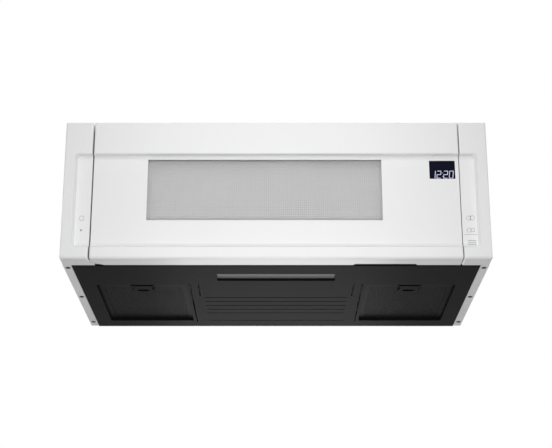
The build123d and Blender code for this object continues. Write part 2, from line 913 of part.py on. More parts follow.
# ---- Cord inlet grommet in the top ---------------------------------------------------------------
with BuildPart() as cord_grommet:
    middle_z = height - sheet / 2
    rod(
        grommet_radius,
        (grommet_x, -grommet_rear, middle_z - grommet_thickness / 2),
        (grommet_x, -grommet_rear, height),
    )
    with BuildSketch(Plane.XY.offset(case_top)):
        with Locations((grommet_x, -grommet_rear)):
            Circle(grommet_radius + over)
            Circle(grommet_radius - grommet_lip, mode=Mode.SUBTRACT)
    extrude(amount=sheet, mode=Mode.SUBTRACT)
    rod(
        grommet_bore,
        (grommet_x, -grommet_rear, middle_z - grommet_thickness),
        (grommet_x, -grommet_rear, height + over),
        mode=Mode.SUBTRACT,
    )
cord_grommet.part.label = "cord_grommet"
export_step(cord_grommet.part, "parts/cord_grommet.step")

# ---- Rear panel, with the slots that hang on the wall plate --------------------------------------
with BuildPart() as rear_panel:
    block((-case_inside, case_inside), (-sheet, 0), (flange_z, case_top))
    block((-base_half_width, base_half_width), (-sheet, 0), (0, flange_z))
    with BuildSketch(Plane((0, 1, 0), x_dir=(1, 0, 0), z_dir=(0, -1, 0))):
        with Locations(
            (-wall_slot_spacing / 2, wall_slot_height), (wall_slot_spacing / 2, wall_slot_height)
        ):
            SlotOverall(wall_slot_length, wall_slot_width)
    extrude(amount=sheet + 2 * over, mode=Mode.SUBTRACT)
rear_panel.part.label = "rear_panel"
export_step(rear_panel.part, "parts/rear_panel.step")

# ---- Base plate: a shallow black pan with openings for the filters, the lamp and the air ---------
base_front = plate_rear + base_front_gap
base_rear = -sheet - base_rear_gap
base_flange = flange_z + sheet
filter_front_y = front_y + filter_front
filter_rear_y = front_y + filter_rear
filter_mid_x = (filter_inner + filter_outer) / 2
lens_front_y = front_y + lens_front
lens_rear_y = front_y + lens_rear
with BuildPart() as base_plate:
    with BuildSketch(Plane.XY):
        with Locations((0, (base_front + base_rear) / 2)):
            RectangleRounded(2 * base_half_width, base_rear - base_front, base_corner)
    extrude(amount=base_flange)
    fillet(base_plate.edges().group_by(Axis.Z)[0], radius=base_bend)
    with BuildSketch(Plane.XY.offset(sheet)):
        with Locations((0, (base_front + base_rear) / 2)):
            RectangleRounded(
                2 * (base_half_width - sheet),
                base_rear - base_front - 2 * sheet,
                base_corner - sheet,
            )
    extrude(amount=base_flange, mode=Mode.SUBTRACT)
    # Side flanges that lie on the case's turned-in edges.
    for side in (-1, 1):
        limits = sorted((side * (base_half_width - sheet), side * (case_inside - touch)))
        block(limits, (base_front + base_corner, base_rear - base_corner), (flange_z, base_flange))
    # Upturned rims round the filter openings and the lamp opening.
    for side in (-1, 1):
        limits = sorted((side * (filter_inner - rim_wall), side * (filter_outer + rim_wall)))
        block(
            limits,
            (filter_front_y - rim_wall, filter_rear_y + rim_wall),
            (sheet, filter_recess + sheet),
        )
        limits = sorted((side * filter_inner, side * filter_outer))
        block(
            limits,
            (filter_front_y, filter_rear_y),
            (-over, filter_recess + 2 * sheet),
            mode=Mode.SUBTRACT,
        )
    block(
        (-lens_half - rim_wall, lens_half + rim_wall),
        (lens_front_y - rim_wall, lens_rear_y + rim_wall),
        (sheet, recess),
    )
    block(
        (-lens_half, lens_half), (lens_front_y, lens_rear_y), (-over, recess + over), mode=Mode.SUBTRACT
    )
    # Ledges at the back of each filter opening, under the filter's pivot beads.
    ledge_top = filter_pivot_z - bead_radius - touch
    for side in (-1, 1):
        for bead_x in (filter_inner + bead_length, filter_outer - bead_length):
            limits = sorted((side * (bead_x - bead_length / 2), side * (bead_x + bead_length / 2)))
            block(
                limits,
                (filter_pivot_y + bead_radius, filter_rear_y + rim_wall),
                (filter_recess, filter_pivot_z + bead_radius + touch + rim_wall),
            )
            block(
                limits,
                (filter_pivot_y - bead_radius - touch, filter_rear_y),
                (ledge_top, filter_pivot_z + bead_radius + touch),
                mode=Mode.SUBTRACT,
            )
    # Air slots pressed through the middle.
    with BuildSketch(Plane.XY.offset(-over)):
        for side in (-1, 1):
            with Locations((side * long_slot_x, front_y + (long_slot_front + long_slot_rear) / 2)):
                SlotOverall(long_slot_rear - long_slot_front, slot_width, rotation=quarter_turn)
            with Locations((side * short_slot_x, front_y + (short_slot_front + short_slot_rear) / 2)):
                SlotOverall(short_slot_rear - short_slot_front, slot_width, rotation=quarter_turn)
        louvres = [louvre_front + louvre_pitch * place for place in range(louvre_count)]
        for louvre in louvres + [last_louvre]:
            with Locations((0, front_y + louvre)):
                SlotOverall(2 * louvre_half, louvre_width)
    extrude(amount=sheet + 2 * over, mode=Mode.SUBTRACT)
    for side in (-1, 1):
        for screw_depth in flange_screw_depths:
            rod(
                screw_radius + screw_fit,
                (side * flange_screw_x, front_y + screw_depth, flange_z - over),
                (side * flange_screw_x, front_y + screw_depth, base_flange + over),
                mode=Mode.SUBTRACT,
            )
base_plate.part.label = "base_plate"
export_step(base_plate.part, "parts/base_plate.step")

# ---- Screws up through the flanges ---------------------------------------------------------------
with BuildPart() as flange_screws:
    for side in (-1, 1):
        for screw_depth in flange_screw_depths:
            place = (side * flange_screw_x, front_y + screw_depth)
            rod(
                screw_head_radius,
                (*place, base_drop - screw_head_height),
                (*place, base_drop),
            )
            rod(screw_radius, (*place, base_drop), (*place, base_drop + screw_length))
            with Locations((*place, base_drop - screw_head_height + drive_depth / 2)):
                Box(drive_width, drive_length, drive_depth, mode=Mode.SUBTRACT)
                Box(drive_length, drive_width, drive_depth, mode=Mode.SUBTRACT)
    head_edges = flange_screws.edges().group_by(Axis.Z)[0].filter_by(GeomType.CIRCLE)
    fillet(head_edges, radius=screw_head_round)
flange_screws.part.label = "flange_screws"
export_step(flange_screws.part, "parts/flange_screws.step")

# ---- Cooktop lamp: lens and the board of diodes above it -----------------------------------------
with BuildPart() as light_lens:
    block(
        (-lens_half - lens_lip, lens_half + lens_lip),
        (lens_front_y - lens_lip, lens_rear_y + lens_lip),
        (recess, recess + lens_thickness),
    )
light_lens.part.label = "light_lens"
export_step(light_lens.part, "parts/light_lens.step")

lamp_board_z = recess + lens_thickness + lamp_board_gap
lamp_mid_y = (lens_front_y + lens_rear_y) / 2
with BuildPart() as light_board:
    block(
        (-lens_half, lens_half),
        (lens_front_y, lens_rear_y),
        (lamp_board_z, lamp_board_z + board_thickness),
    )
    for side in (-1, 1):
        limits = sorted((side * (lens_half - lens_lip), side * lens_half))
        block(limits, (lens_front_y, lens_rear_y), (recess + lens_thickness, lamp_board_z))
    with Locations((0, lamp_mid_y, lamp_board_z - board_thickness / 2)):
        with GridLocations(2 * lens_half / led_count, 1, led_count, 1):
            Box(led_side, led_side, board_thickness)
light_board.part.label = "light_board"
export_step(light_board.part, "parts/light_board.step")

# ---- Grease filters: framed aluminium mesh, each with a folding ring pull ------------------------
frame_front = filter_front_y + filter_gap
frame_rear = filter_pivot_y - bead_radius - touch
frame_inner = filter_inner + filter_gap
frame_outer = filter_outer - filter_gap
filter_top = filter_bottom + filter_thickness
pull_y = front_y + pull_front
pull_z = filter_bottom - pull_thickness / 2 - pull_gap
lug_x = pull_width / 2 + pull_lug / 2 + touch
with BuildPart() as right_filter_frame:
    block((frame_inner, frame_outer), (frame_front, frame_rear), (filter_bottom, filter_top))
    block(
        (frame_inner + filter_face, frame_outer - filter_face),
        (frame_front + filter_face, frame_rear - filter_face),
        (filter_bottom + filter_face, filter_top - filter_face),
        mode=Mode.SUBTRACT,
    )
    block(
        (frame_inner + filter_border, frame_outer - filter_border),
        (frame_front + pull_band, frame_rear - filter_border),
        (filter_bottom - over, filter_top + over),
        mode=Mode.SUBTRACT,
    )
    # Pivot beads on two tongues at the back.
    for bead_x in (filter_inner + bead_length, filter_outer - bead_length):
        half_bead = bead_length / 2 - touch
        rod(
            bead_radius,
            (bead_x - half_bead, filter_pivot_y, filter_pivot_z),
            (bead_x + half_bead, filter_pivot_y, filter_pivot_z),
        )
        block(
            (bead_x - half_bead, bead_x + half_bead),
            (frame_rear - filter_face, filter_pivot_y),
            (filter_pivot_z - filter_face, filter_pivot_z + filter_face),
        )
    # Two lugs that hold the ring pull's pin.
    for side in (-1, 1):
        lug_mid = filter_mid_x + side * lug_x
        block(
            (lug_mid - pull_lug / 2, lug_mid + pull_lug / 2),
            (pull_y - pull_lug / 2, pull_y + pull_lug / 2),
            (pull_z - pull_thickness / 2, filter_bottom),
        )
    rod(
        pull_pin_radius,
        (filter_mid_x - lug_x, pull_y, pull_z),
        (filter_mid_x + lug_x, pull_y, pull_z),
    )
right_filter_frame.part.label = "right_filter_frame"
export_step(right_filter_frame.part, "parts/right_filter_frame.step")

with BuildPart() as left_filter_frame:
    add(mirrored(right_filter_frame.part))
left_filter_frame.part.label = "left_filter_frame"
export_step(left_filter_frame.part, "parts/left_filter_frame.step")

with BuildPart() as right_filter_mesh:
    block(
        (frame_inner + filter_face, frame_outer - filter_face),
        (frame_front + filter_face, frame_rear - filter_face),
        (filter_bottom + filter_face, filter_bottom + filter_face + mesh_thickness),
    )
right_filter_mesh.part.label = "right_filter_mesh"
export_step(right_filter_mesh.part, "parts/right_filter_mesh.step")

with BuildPart() as left_filter_mesh:
    add(mirrored(right_filter_mesh.part))
left_filter_mesh.part.label = "left_filter_mesh"
export_step(left_filter_mesh.part, "parts/left_filter_mesh.step")

with BuildPart() as right_filter_ring:
    with BuildSketch(Plane.XY.offset(pull_z - pull_thickness / 2)):
        with BuildLine():
            Polyline(
                (filter_mid_x - pull_width / 2, pull_y + pull_straight),
                (filter_mid_x - pull_width / 2, pull_y - pull_eye_radius),
                (filter_mid_x + pull_width / 2, pull_y - pull_eye_radius),
                (filter_mid_x + pull_width / 2, pull_y + pull_straight),
            )
            ThreePointArc(
                (filter_mid_x - pull_width / 2, pull_y + pull_straight),
                (filter_mid_x, pull_y + pull_length),
                (filter_mid_x + pull_width / 2, pull_y + pull_straight),
            )
        make_face()
        with Locations((filter_mid_x, pull_y + pull_length / 2)):
            SlotOverall(pull_hole_width, pull_hole_length, mode=Mode.SUBTRACT)
    extrude(amount=pull_thickness)
    rod(
        pull_pin_radius + pin_fit,
        (filter_mid_x - pull_width, pull_y, pull_z),
        (filter_mid_x + pull_width, pull_y, pull_z),
        mode=Mode.SUBTRACT,
    )
right_filter_ring.part.label = "right_filter_ring"
export_step(right_filter_ring.part, "parts/right_filter_ring.step")

with BuildPart() as left_filter_ring:
    add(mirrored(right_filter_ring.part))
left_filter_ring.part.label = "left_filter_ring"
export_step(left_filter_ring.part, "parts/left_filter_ring.step")

# ---- Oven cavity: box and front plate welded into one --------------------------------------------
guide_front_y = front_y + waveguide_front
guide_mid_y = guide_front_y + waveguide_width / 2
guide_mid_z = waveguide_bottom + waveguide_height / 2
slot_side = hook_width / 2 + hook_clearance
with BuildPart() as oven_cavity:
    block((-case_inside, case_inside), (plate_front, plate_rear), (flange_z, case_top))
    block(
        (cavity_wall_left, cavity_wall_right),
        (plate_front, cavity_rear + thin_sheet),
        (cavity_bottom - thin_sheet, cavity_roof),
    )
    block(
        (cavity_left, cavity_right),
        (plate_front - over, cavity_rear),
        (cavity_bottom, cavity_top),
        mode=Mode.SUBTRACT,
    )
    rod(
        stem_hole,
        (cavity_centre_x, cavity_mid_y, cavity_bottom - thin_sheet - over),
        (cavity_centre_x, cavity_mid_y, cavity_bottom + over),
        mode=Mode.SUBTRACT,
    )
    block(
        (cavity_right - over, cavity_wall_right + over),
        (guide_mid_y - guide_window / 2, guide_mid_y + guide_window / 2),
        (guide_mid_z - guide_window / 2, guide_mid_z + guide_window / 2),
        mode=Mode.SUBTRACT,
    )
    for hook_z in hook_heights:
        block(
            (latch_x - slot_side, latch_x + slot_side),
            (plate_front - over, plate_rear + over),
            (hook_z - hook_nose - hook_clearance, hook_z + hook_height + latch_travel + hook_clearance),
            mode=Mode.SUBTRACT,
        )
    # Slots for the two hinge arms.
    for level in arm_levels:
        block(
            (bracket_x - arm_width / 2 - touch, bracket_x + arm_width / 2 + touch),
            (plate_front - over, plate_rear + over),
            (level - touch, level + arm_thickness + touch),
            mode=Mode.SUBTRACT,
        )
    # Lamp holes in the right wall.
    with Locations(Plane(origin=(cavity_right, front_y + lamp_front, lamp_z), z_dir=(1, 0, 0))):
        with GridLocations(lamp_hole_pitch, lamp_hole_pitch, lamp_hole_rows, lamp_hole_rows):
            Cylinder(lamp_hole_radius, 2 * (thin_sheet + over), mode=Mode.SUBTRACT)
oven_cavity.part.label = "oven_cavity"
export_step(oven_cavity.part, "parts/oven_cavity.step")

# ---- Waveguide, its cover inside the cavity and the magnetron that feeds it ----------------------
with BuildPart() as waveguide_cover:
    half_cover = guide_window / 2 + cover_border
    block(
        (cavity_right - mica, cavity_right),
        (guide_mid_y - half_cover, guide_mid_y + half_cover),
        (guide_mid_z - half_cover, guide_mid_z + half_cover),
    )
waveguide_cover.part.label = "waveguide_cover"
export_step(waveguide_cover.part, "parts/waveguide_cover.step")

guide_outer = cavity_wall_right + waveguide_thickness
with BuildPart() as waveguide:
    block(
        (cavity_wall_right, guide_outer),
        (guide_front_y, guide_front_y + waveguide_width),
        (waveguide_bottom, waveguide_bottom + waveguide_height),
    )
    block(
        (cavity_wall_right - over, guide_outer - thin_sheet),
        (guide_front_y + thin_sheet, guide_front_y + waveguide_width - thin_sheet),
        (waveguide_bottom + thin_sheet, waveguide_bottom + waveguide_height - thin_sheet),
        mode=Mode.SUBTRACT,
    )
    rod(
        antenna_radius + hook_clearance,
        (guide_outer - 2 * thin_sheet, guide_mid_y, guide_mid_z),
        (guide_outer + over, guide_mid_y, guide_mid_z),
        mode=Mode.SUBTRACT,
    )
waveguide.part.label = "waveguide"
export_step(waveguide.part, "parts/waveguide.step")

magnetron_z = guide_mid_z - magnetron_height / 2
magnetron_y = guide_mid_y - magnetron_width / 2
fin_room = magnetron_length - 2 * yoke_wall
with BuildPart() as magnetron:
    # A yoke of folded plate round a stack of cooling fins.
    block(
        (guide_outer, guide_outer + magnetron_length),
        (magnetron_y, magnetron_y + magnetron_width),
        (magnetron_z, magnetron_z + magnetron_height),
    )
    block(
        (guide_outer + yoke_wall, guide_outer + magnetron_length - yoke_wall),
        (magnetron_y - over, magnetron_y + magnetron_width + over),
        (magnetron_z + yoke_wall, magnetron_z + magnetron_height - yoke_wall),
        mode=Mode.SUBTRACT,
    )
    rod(
        magnetron_core_radius,
        (guide_outer, guide_mid_y, guide_mid_z),
        (guide_outer + magnetron_length, guide_mid_y, guide_mid_z),
    )
    for place in range(fin_count):
        fin_x = guide_outer + yoke_wall + fin_room * (place + 1) / (fin_count + 1)
        block(
            (fin_x - sheet / 2, fin_x + sheet / 2),
            (magnetron_y, magnetron_y + magnetron_width),
            (magnetron_z + yoke_wall, magnetron_z + magnetron_height - yoke_wall),
        )
    rod(
        antenna_radius,
        (guide_outer - antenna_length, guide_mid_y, guide_mid_z),
        (guide_outer, guide_mid_y, guide_mid_z),
    )
magnetron.part.label = "magnetron"
export_step(magnetron.part, "parts/magnetron.step")

# ---- Shelf for the electrical parts, with the air passage under it -------------------------------
with BuildPart() as component_tray:
    block((cavity_wall_right, case_inside), (plate_rear, -sheet), (tray_level, shelf_z))
component_tray.part.label = "component_tray"
export_step(component_tray.part, "parts/component_tray.step")

# ---- High-voltage transformer --------------------------------------------------------------------
transformer_x = (cavity_wall_right + case_inside) / 2
transformer_y = front_y + transformer_front
with BuildPart() as hv_transformer:
    block(
        (transformer_x - transformer_width / 2, transformer_x + transformer_width / 2),
        (transformer_y + lamination_inset, transformer_y + transformer_length - lamination_inset),
        (shelf_z, shelf_z + transformer_height),
    )
    block(
        (transformer_x - coil_width / 2, transformer_x + coil_width / 2),
        (transformer_y, transformer_y + transformer_length),
        (shelf_z + coil_wall, shelf_z + transformer_height - coil_wall),
    )
    fillet(hv_transformer.edges().filter_by(Axis.Z).group_by(Axis.Y)[0], radius=coil_wall)
    fillet(hv_transformer.edges().filter_by(Axis.Z).group_by(Axis.Y)[-1], radius=coil_wall)
hv_transformer.part.label = "hv_transformer"
export_step(hv_transformer.part, "parts/hv_transformer.step")

# ---- High-voltage capacitor ----------------------------------------------------------------------
capacitor_x = case_inside - capacitor_length / 2 - capacitor_gap
capacitor_y = front_y + capacitor_front + capacitor_radius
with BuildPart() as hv_capacitor:
    with BuildSketch(Plane.XY.offset(shelf_z)):
        with Locations((capacitor_x, capacitor_y)):
            SlotOverall(capacitor_length, 2 * capacitor_radius)
    extrude(amount=capacitor_height)
    fillet(hv_capacitor.edges().group_by(Axis.Z)[-1], radius=edge_radius)
hv_capacitor.part.label = "hv_capacitor"
export_step(hv_capacitor.part, "parts/hv_capacitor.step")

# ---- Power board on the right side wall ----------------------------------------------------------
board_x = case_inside - board_standoff - board_thickness
board_y = front_y + power_board_front
relay_pitch = power_board_length / (relay_columns + 1)
relay_rise = power_board_height / (relay_rows + 1)
peg_rows = (board_standoff, power_board_height - board_standoff)
with BuildPart() as power_board:
    block(
        (board_x, board_x + board_thickness),
        (board_y, board_y + power_board_length),
        (power_board_bottom, power_board_bottom + power_board_height),
    )
    for row in range(1, relay_rows + 1):
        for place in range(1, relay_columns + 1):
            relay_y = board_y + place * relay_pitch
            relay_z = power_board_bottom + row * relay_rise
            block(
                (board_x - relay_side, board_x),
                (relay_y - relay_side / 2, relay_y + relay_side / 2),
                (relay_z - relay_side / 2, relay_z + relay_side / 2),
            )
    for peg_y in (board_y + board_standoff, board_y + power_board_length - board_standoff):
        for peg_row in peg_rows:
            peg_z = power_board_bottom + peg_row
            rod(
                board_standoff / 2,
                (board_x + board_thickness, peg_y, peg_z),
                (case_inside, peg_y, peg_z),
            )
power_board.part.label = "power_board"
export_step(power_board.part, "parts/power_board.step")

# ---- Cooling fan: shroud plate, shaded-pole motor and blade --------------------------------------
fan_y = front_y + fan_front
fan_back = fan_y + fan_depth + arm_thickness
shroud_half = fan_radius + fan_border
with BuildPart() as fan_shroud:
    block(
        (fan_x - shroud_half, fan_x + shroud_half),
        (fan_y, fan_y + fan_depth),
        (shelf_z, fan_z + shroud_half),
    )
    rod(
        fan_radius + fan_tip_gap,
        (fan_x, fan_y - over, fan_z),
        (fan_x, fan_y + fan_depth + over, fan_z),
        mode=Mode.SUBTRACT,
    )
    # Cross arm that carries the motor behind the blade.
    block(
        (fan_x - shroud_half, fan_x + shroud_half),
        (fan_y + fan_depth, fan_back),
        (fan_z - fan_arm_height / 2, fan_z + fan_arm_height / 2),
    )
    rod(
        fan_arm_bore,
        (fan_x, fan_y + fan_depth - over, fan_z),
        (fan_x, fan_back + over, fan_z),
        mode=Mode.SUBTRACT,
    )
fan_shroud.part.label = "fan_shroud"
export_step(fan_shroud.part, "parts/fan_shroud.step")

with BuildPart() as fan_motor:
    block(
        (fan_x - fan_motor_side / 2, fan_x + fan_motor_side / 2),
        (fan_back, fan_back + fan_motor_depth),
        (fan_z - fan_motor_side / 2, fan_z + fan_motor_side / 2),
    )
    rod(
        fan_shaft_radius + pin_fit,
        (fan_x, fan_back - over, fan_z),
        (fan_x, fan_back + fan_shaft_seat + touch, fan_z),
        mode=Mode.SUBTRACT,
    )
fan_motor.part.label = "fan_motor"
export_step(fan_motor.part, "parts/fan_motor.step")

hub_front = fan_y + fan_hub_gap
with BuildPart() as fan_blade:
    rod(fan_hub, (fan_x, hub_front, fan_z), (fan_x, fan_y + fan_depth - fan_hub_gap, fan_z))
    rod(
        fan_shaft_radius,
        (fan_x, hub_front, fan_z),
        (fan_x, fan_back + fan_shaft_seat, fan_z),
    )
    hub_middle = (fan_x, fan_y + fan_depth / 2, fan_z)
    hub_plane = Plane(origin=hub_middle, x_dir=(1, 0, 0), z_dir=(0, -1, 0))
    with Locations(hub_plane):
        with PolarLocations((fan_hub + fan_radius) / 2 - blade_root, fan_blades):
            Box(fan_radius - fan_hub, blade_chord, blade_sheet, rotation=(blade_pitch, 0, 0))
fan_blade.part.label = "fan_blade"
export_step(fan_blade.part, "parts/fan_blade.step")

# ---- Blower: partition plate, two scroll housings, motor, shaft and two squirrel-cage wheels -----
blower_front_y = front_y + blower_front
housing_length = wheel_length + 2 * wheel_gap
motor_front_y = blower_front_y + housing_length
motor_rear_y = motor_front_y + blower_motor_length
housing_starts = (blower_front_y, motor_rear_y)
outlet_left = blower_x - scroll_radius
outlet_right = outlet_left + outlet_width
with BuildPart() as blower_plate:
    block(
        (-case_inside, cavity_wall_left),
        (plate_rear, -sheet),
        (cavity_top, cavity_roof),
    )
    for start in housing_starts:
        block(
            (outlet_left + scroll_wall, outlet_right - scroll_wall),
            (start + scroll_wall, start + housing_length - scroll_wall),
            (cavity_top - over, cavity_roof + over),
            mode=Mode.SUBTRACT,
        )
blower_plate.part.label = "blower_plate"
export_step(blower_plate.part, "parts/blower_plate.step")


def scroll(start, length, radius, wall):
    """The snail outline of a blower: a round chamber with an upright outlet on its left side."""
    rod(radius - wall, (blower_x, start, blower_z), (blower_x, start + length, blower_z))
    block(
        (outlet_left + wall, outlet_right - wall),
        (start, start + length),
        (blower_z, cavity_top),
    )


with BuildPart() as blower_housings:
    for start in housing_starts:
        scroll(start, housing_length, scroll_radius, 0)
with BuildPart() as blower_air:
    for start in housing_starts:
        scroll(start + scroll_wall, housing_length - 2 * scroll_wall, scroll_radius, scroll_wall)
        rod(
            inlet_radius,
            (blower_x, start - over, blower_z),
            (blower_x, start + housing_length + over, blower_z),
        )
with BuildPart() as blower_housing:
    add(blower_housings.part)
    add(blower_air.part, mode=Mode.SUBTRACT)
blower_housing.part.label = "blower_housing"
export_step(blower_housing.part, "parts/blower_housing.step")

with BuildPart() as blower_motor:
    rod(
        blower_motor_radius,
        (blower_x, motor_front_y, blower_z),
        (blower_x, motor_rear_y, blower_z),
    )
    rod(
        blower_shaft_radius + pin_fit,
        (blower_x, motor_front_y - over, blower_z),
        (blower_x, motor_rear_y + over, blower_z),
        mode=Mode.SUBTRACT,
    )
blower_motor.part.label = "blower_motor"
export_step(blower_motor.part, "parts/blower_motor.step")

wheel_starts = [start + wheel_gap for start in housing_starts]
with BuildPart() as blower_shaft:
    rod(
        blower_shaft_radius,
        (blower_x, wheel_starts[0], blower_z),
        (blower_x, wheel_starts[1] + wheel_length, blower_z),
    )
blower_shaft.part.label = "blower_shaft"
export_step(blower_shaft.part, "parts/blower_shaft.step")

with BuildPart() as blower_wheels:
    for start in wheel_starts:
        middle = start + wheel_length / 2
        rod(
            wheel_radius,
            (blower_x, middle - wheel_web, blower_z),
            (blower_x, middle + wheel_web, blower_z),
        )
        rod(
            wheel_hub_radius,
            (blower_x, middle - wheel_hub_length / 2, blower_z),
            (blower_x, middle + wheel_hub_length / 2, blower_z),
        )
        for rim_y in (start, start + wheel_length - wheel_rim):
            with BuildSketch(Plane((blower_x, rim_y, blower_z), x_dir=(1, 0, 0), z_dir=(0, 1, 0))):
                Circle(wheel_radius)
                Circle(wheel_radius - blade_depth, mode=Mode.SUBTRACT)
            extrude(amount=wheel_rim)
        wheel_plane = Plane((blower_x, middle, blower_z), x_dir=(1, 0, 0), z_dir=(0, 1, 0))
        with Locations(wheel_plane):
            with PolarLocations(wheel_radius - blade_depth / 2, wheel_blades):
                Box(
                    blade_depth - blade_inset,
                    blade_thickness,
                    wheel_length,
                    rotation=(0, 0, blade_lean),
                )
        rod(
            blower_shaft_radius,
            (blower_x, start - over, blower_z),
            (blower_x, start + wheel_length + over, blower_z),
            mode=Mode.SUBTRACT,
        )
blower_wheels.part.label = "blower_wheels"
export_step(blower_wheels.part, "parts/blower_wheels.step")

# ---- Exhaust damper: a collar under the top and a flap that the air lifts ------------------------
flap_z = case_top - flap_drop
flap_pivot_y = exhaust_back - flap_pivot_in
collar_x = exhaust_width / 2 + damper_wall
collar_front = exhaust_front - damper_wall
collar_back = exhaust_back + damper_wall
with BuildPart() as damper_housing:
    block((-collar_x, collar_x), (collar_front, collar_back), (case_top - damper_height, case_top))
    block(
        (-exhaust_width / 2, exhaust_width / 2),
        (exhaust_front, exhaust_back),
        (case_top - damper_height - over, case_top + over),
        mode=Mode.SUBTRACT,
    )
    # Ledge that the flap's front edge rests on.
    block(
        (-exhaust_width / 2, exhaust_width / 2),
        (exhaust_front, exhaust_front + flap_ledge),
        (flap_z - flap_thickness / 2 - touch - damper_wall, flap_z - flap_thickness / 2 - touch),
    )
    for side in (-1, 1):
        rod(
            flap_pin_radius + pin_fit,
            (side * (exhaust_width / 2 - over), flap_pivot_y, flap_z),
            (side * (collar_x + over), flap_pivot_y, flap_z),
            mode=Mode.SUBTRACT,
        )
damper_housing.part.label = "damper_housing"
export_step(damper_housing.part, "parts/damper_housing.step")

with BuildPart() as damper_flap:
    block(
        (-exhaust_width / 2 + flap_gap, exhaust_width / 2 - flap_gap),
        (exhaust_front + flap_gap, exhaust_back - flap_gap),
        (flap_z - flap_thickness / 2, flap_z + flap_thickness / 2),
    )
    rod(flap_pin_radius, (-collar_x, flap_pivot_y, flap_z), (collar_x, flap_pivot_y, flap_z))
damper_flap.part.label = "damper_flap"
export_step(damper_flap.part, "parts/damper_flap.step")

# ---- Charcoal filter for when the hood returns the air to the room -------------------------------
with BuildPart() as charcoal_filter:
    block(
        (cavity_centre_x - charcoal_width / 2, cavity_centre_x + charcoal_width / 2),
        (front_y + charcoal_front, front_y + charcoal_front + charcoal_length),
        (cavity_roof, cavity_roof + charcoal_thickness),
    )
    fillet(charcoal_filter.edges().filter_by(Axis.Z), radius=edge_radius)
charcoal_filter.part.label = "charcoal_filter"
export_step(charcoal_filter.part, "parts/charcoal_filter.step")

# ---- Turntable: motor, coupler, roller ring, rollers and glass tray ------------------------------
centre = (cavity_centre_x, cavity_mid_y)
floor_under = cavity_bottom - thin_sheet
tray_z = cavity_bottom + 2 * roller_radius + 2 * touch
stem_bottom = floor_under - stem_depth
with BuildPart() as turntable_motor:
    rod(turntable_motor_radius, (*centre, floor_under - turntable_motor_height), (*centre, floor_under))
    rod(
        stem_radius + pin_fit,
        (*centre, stem_bottom - touch),
        (*centre, floor_under + over),
        mode=Mode.SUBTRACT,
    )
turntable_motor.part.label = "turntable_motor"
export_step(turntable_motor.part, "parts/turntable_motor.step")

coupler_bottom = cavity_bottom + coupler_gap
with BuildPart() as turntable_coupler:
    rod(stem_radius, (*centre, stem_bottom), (*centre, tray_z))
    rod(coupler_radius - coupler_lobe, (*centre, coupler_bottom), (*centre, tray_z))
    with BuildSketch(Plane.XY.offset(coupler_bottom)):
        with Locations(centre):
            with PolarLocations((coupler_radius - coupler_lobe / 2) / 2, roller_count):
                SlotOverall(coupler_radius, coupler_lobe)
    extrude(amount=tray_z - coupler_bottom)
turntable_coupler.part.label = "turntable_coupler"
export_step(turntable_coupler.part, "parts/turntable_coupler.step")

with BuildPart() as glass_tray:
    tray_plane = Plane(origin=(*centre, tray_z), x_dir=(1, 0, 0), z_dir=(0, -1, 0))
    with BuildSketch(tray_plane):
        with BuildLine():
            Polyline(
                (0, tray_thickness),
                (0, 0),
                (tray_foot_radius, 0),
                (tray_radius, tray_rim),
                (tray_radius, tray_rim + tray_lip),
                (tray_radius - tray_lip, tray_rim + tray_lip),
                (tray_foot_radius - tray_lip, tray_thickness),
                close=True,
            )
        make_face()
    revolve(axis=Axis((*centre, 0), (0, 0, 1)))
glass_tray.part.label = "glass_tray"
export_step(glass_tray.part, "parts/glass_tray.step")

roller_z = cavity_bottom + touch + roller_radius
ring_inner = roller_circle - roller_width / 2 - hub_gap - ring_width
with BuildPart() as roller_ring:
    with BuildSketch(Plane.XY.offset(roller_z - ring_thickness / 2)):
        with Locations(centre):
            Circle(ring_inner + ring_width)
            Circle(ring_inner, mode=Mode.SUBTRACT)
    extrude(amount=ring_thickness)
    for place in range(roller_count):
        angle = 2 * pi * place / roller_count
        outward = Vector(cos(angle), sin(angle), 0)
        start = Vector(*centre, roller_z) + outward * (ring_inner + ring_width / 2)
        end = Vector(*centre, roller_z) + outward * (roller_circle + roller_width / 2 + hub_gap)
        rod(axle_radius, tuple(start), tuple(end))
roller_ring.part.label = "roller_ring"
export_step(roller_ring.part, "parts/roller_ring.step")

for place in range(roller_count):
    angle = 2 * pi * place / roller_count
    outward = Vector(cos(angle), sin(angle), 0)
    start = Vector(*centre, roller_z) + outward * (roller_circle - roller_width / 2)
    end = Vector(*centre, roller_z) + outward * (roller_circle + roller_width / 2)
    with BuildPart() as roller:
        rod(roller_radius, tuple(start), tuple(end))
        rod(axle_radius + pin_fit, tuple(start - outward), tuple(end + outward), mode=Mode.SUBTRACT)
    roller.part.label = f"roller_{place + 1}"
    export_step(roller.part, f"parts/roller_{place + 1}.step")

# ---- Cavity lamp, outside the holes in the right wall --------------------------------------------
lamp_y = front_y + lamp_front
holder_front = lamp_y + bulb_radius + bulb_neck
with BuildPart() as cavity_lamp:
    block(
        (cavity_wall_right, cavity_wall_right + lamp_base),
        (holder_front, holder_front + lamp_base),
        (lamp_z - bulb_radius, lamp_z + bulb_radius),
    )
    bulb_x = cavity_wall_right + bulb_radius + touch
    rod(
        bulb_radius,
        (bulb_x, lamp_y - bulb_length / 2, lamp_z),
        (bulb_x, holder_front, lamp_z),
    )
    fillet(cavity_lamp.edges().group_by(Axis.Y)[0], radius=bulb_nose)
cavity_lamp.part.label = "cavity_lamp"
export_step(cavity_lamp.part, "parts/cavity_lamp.step")

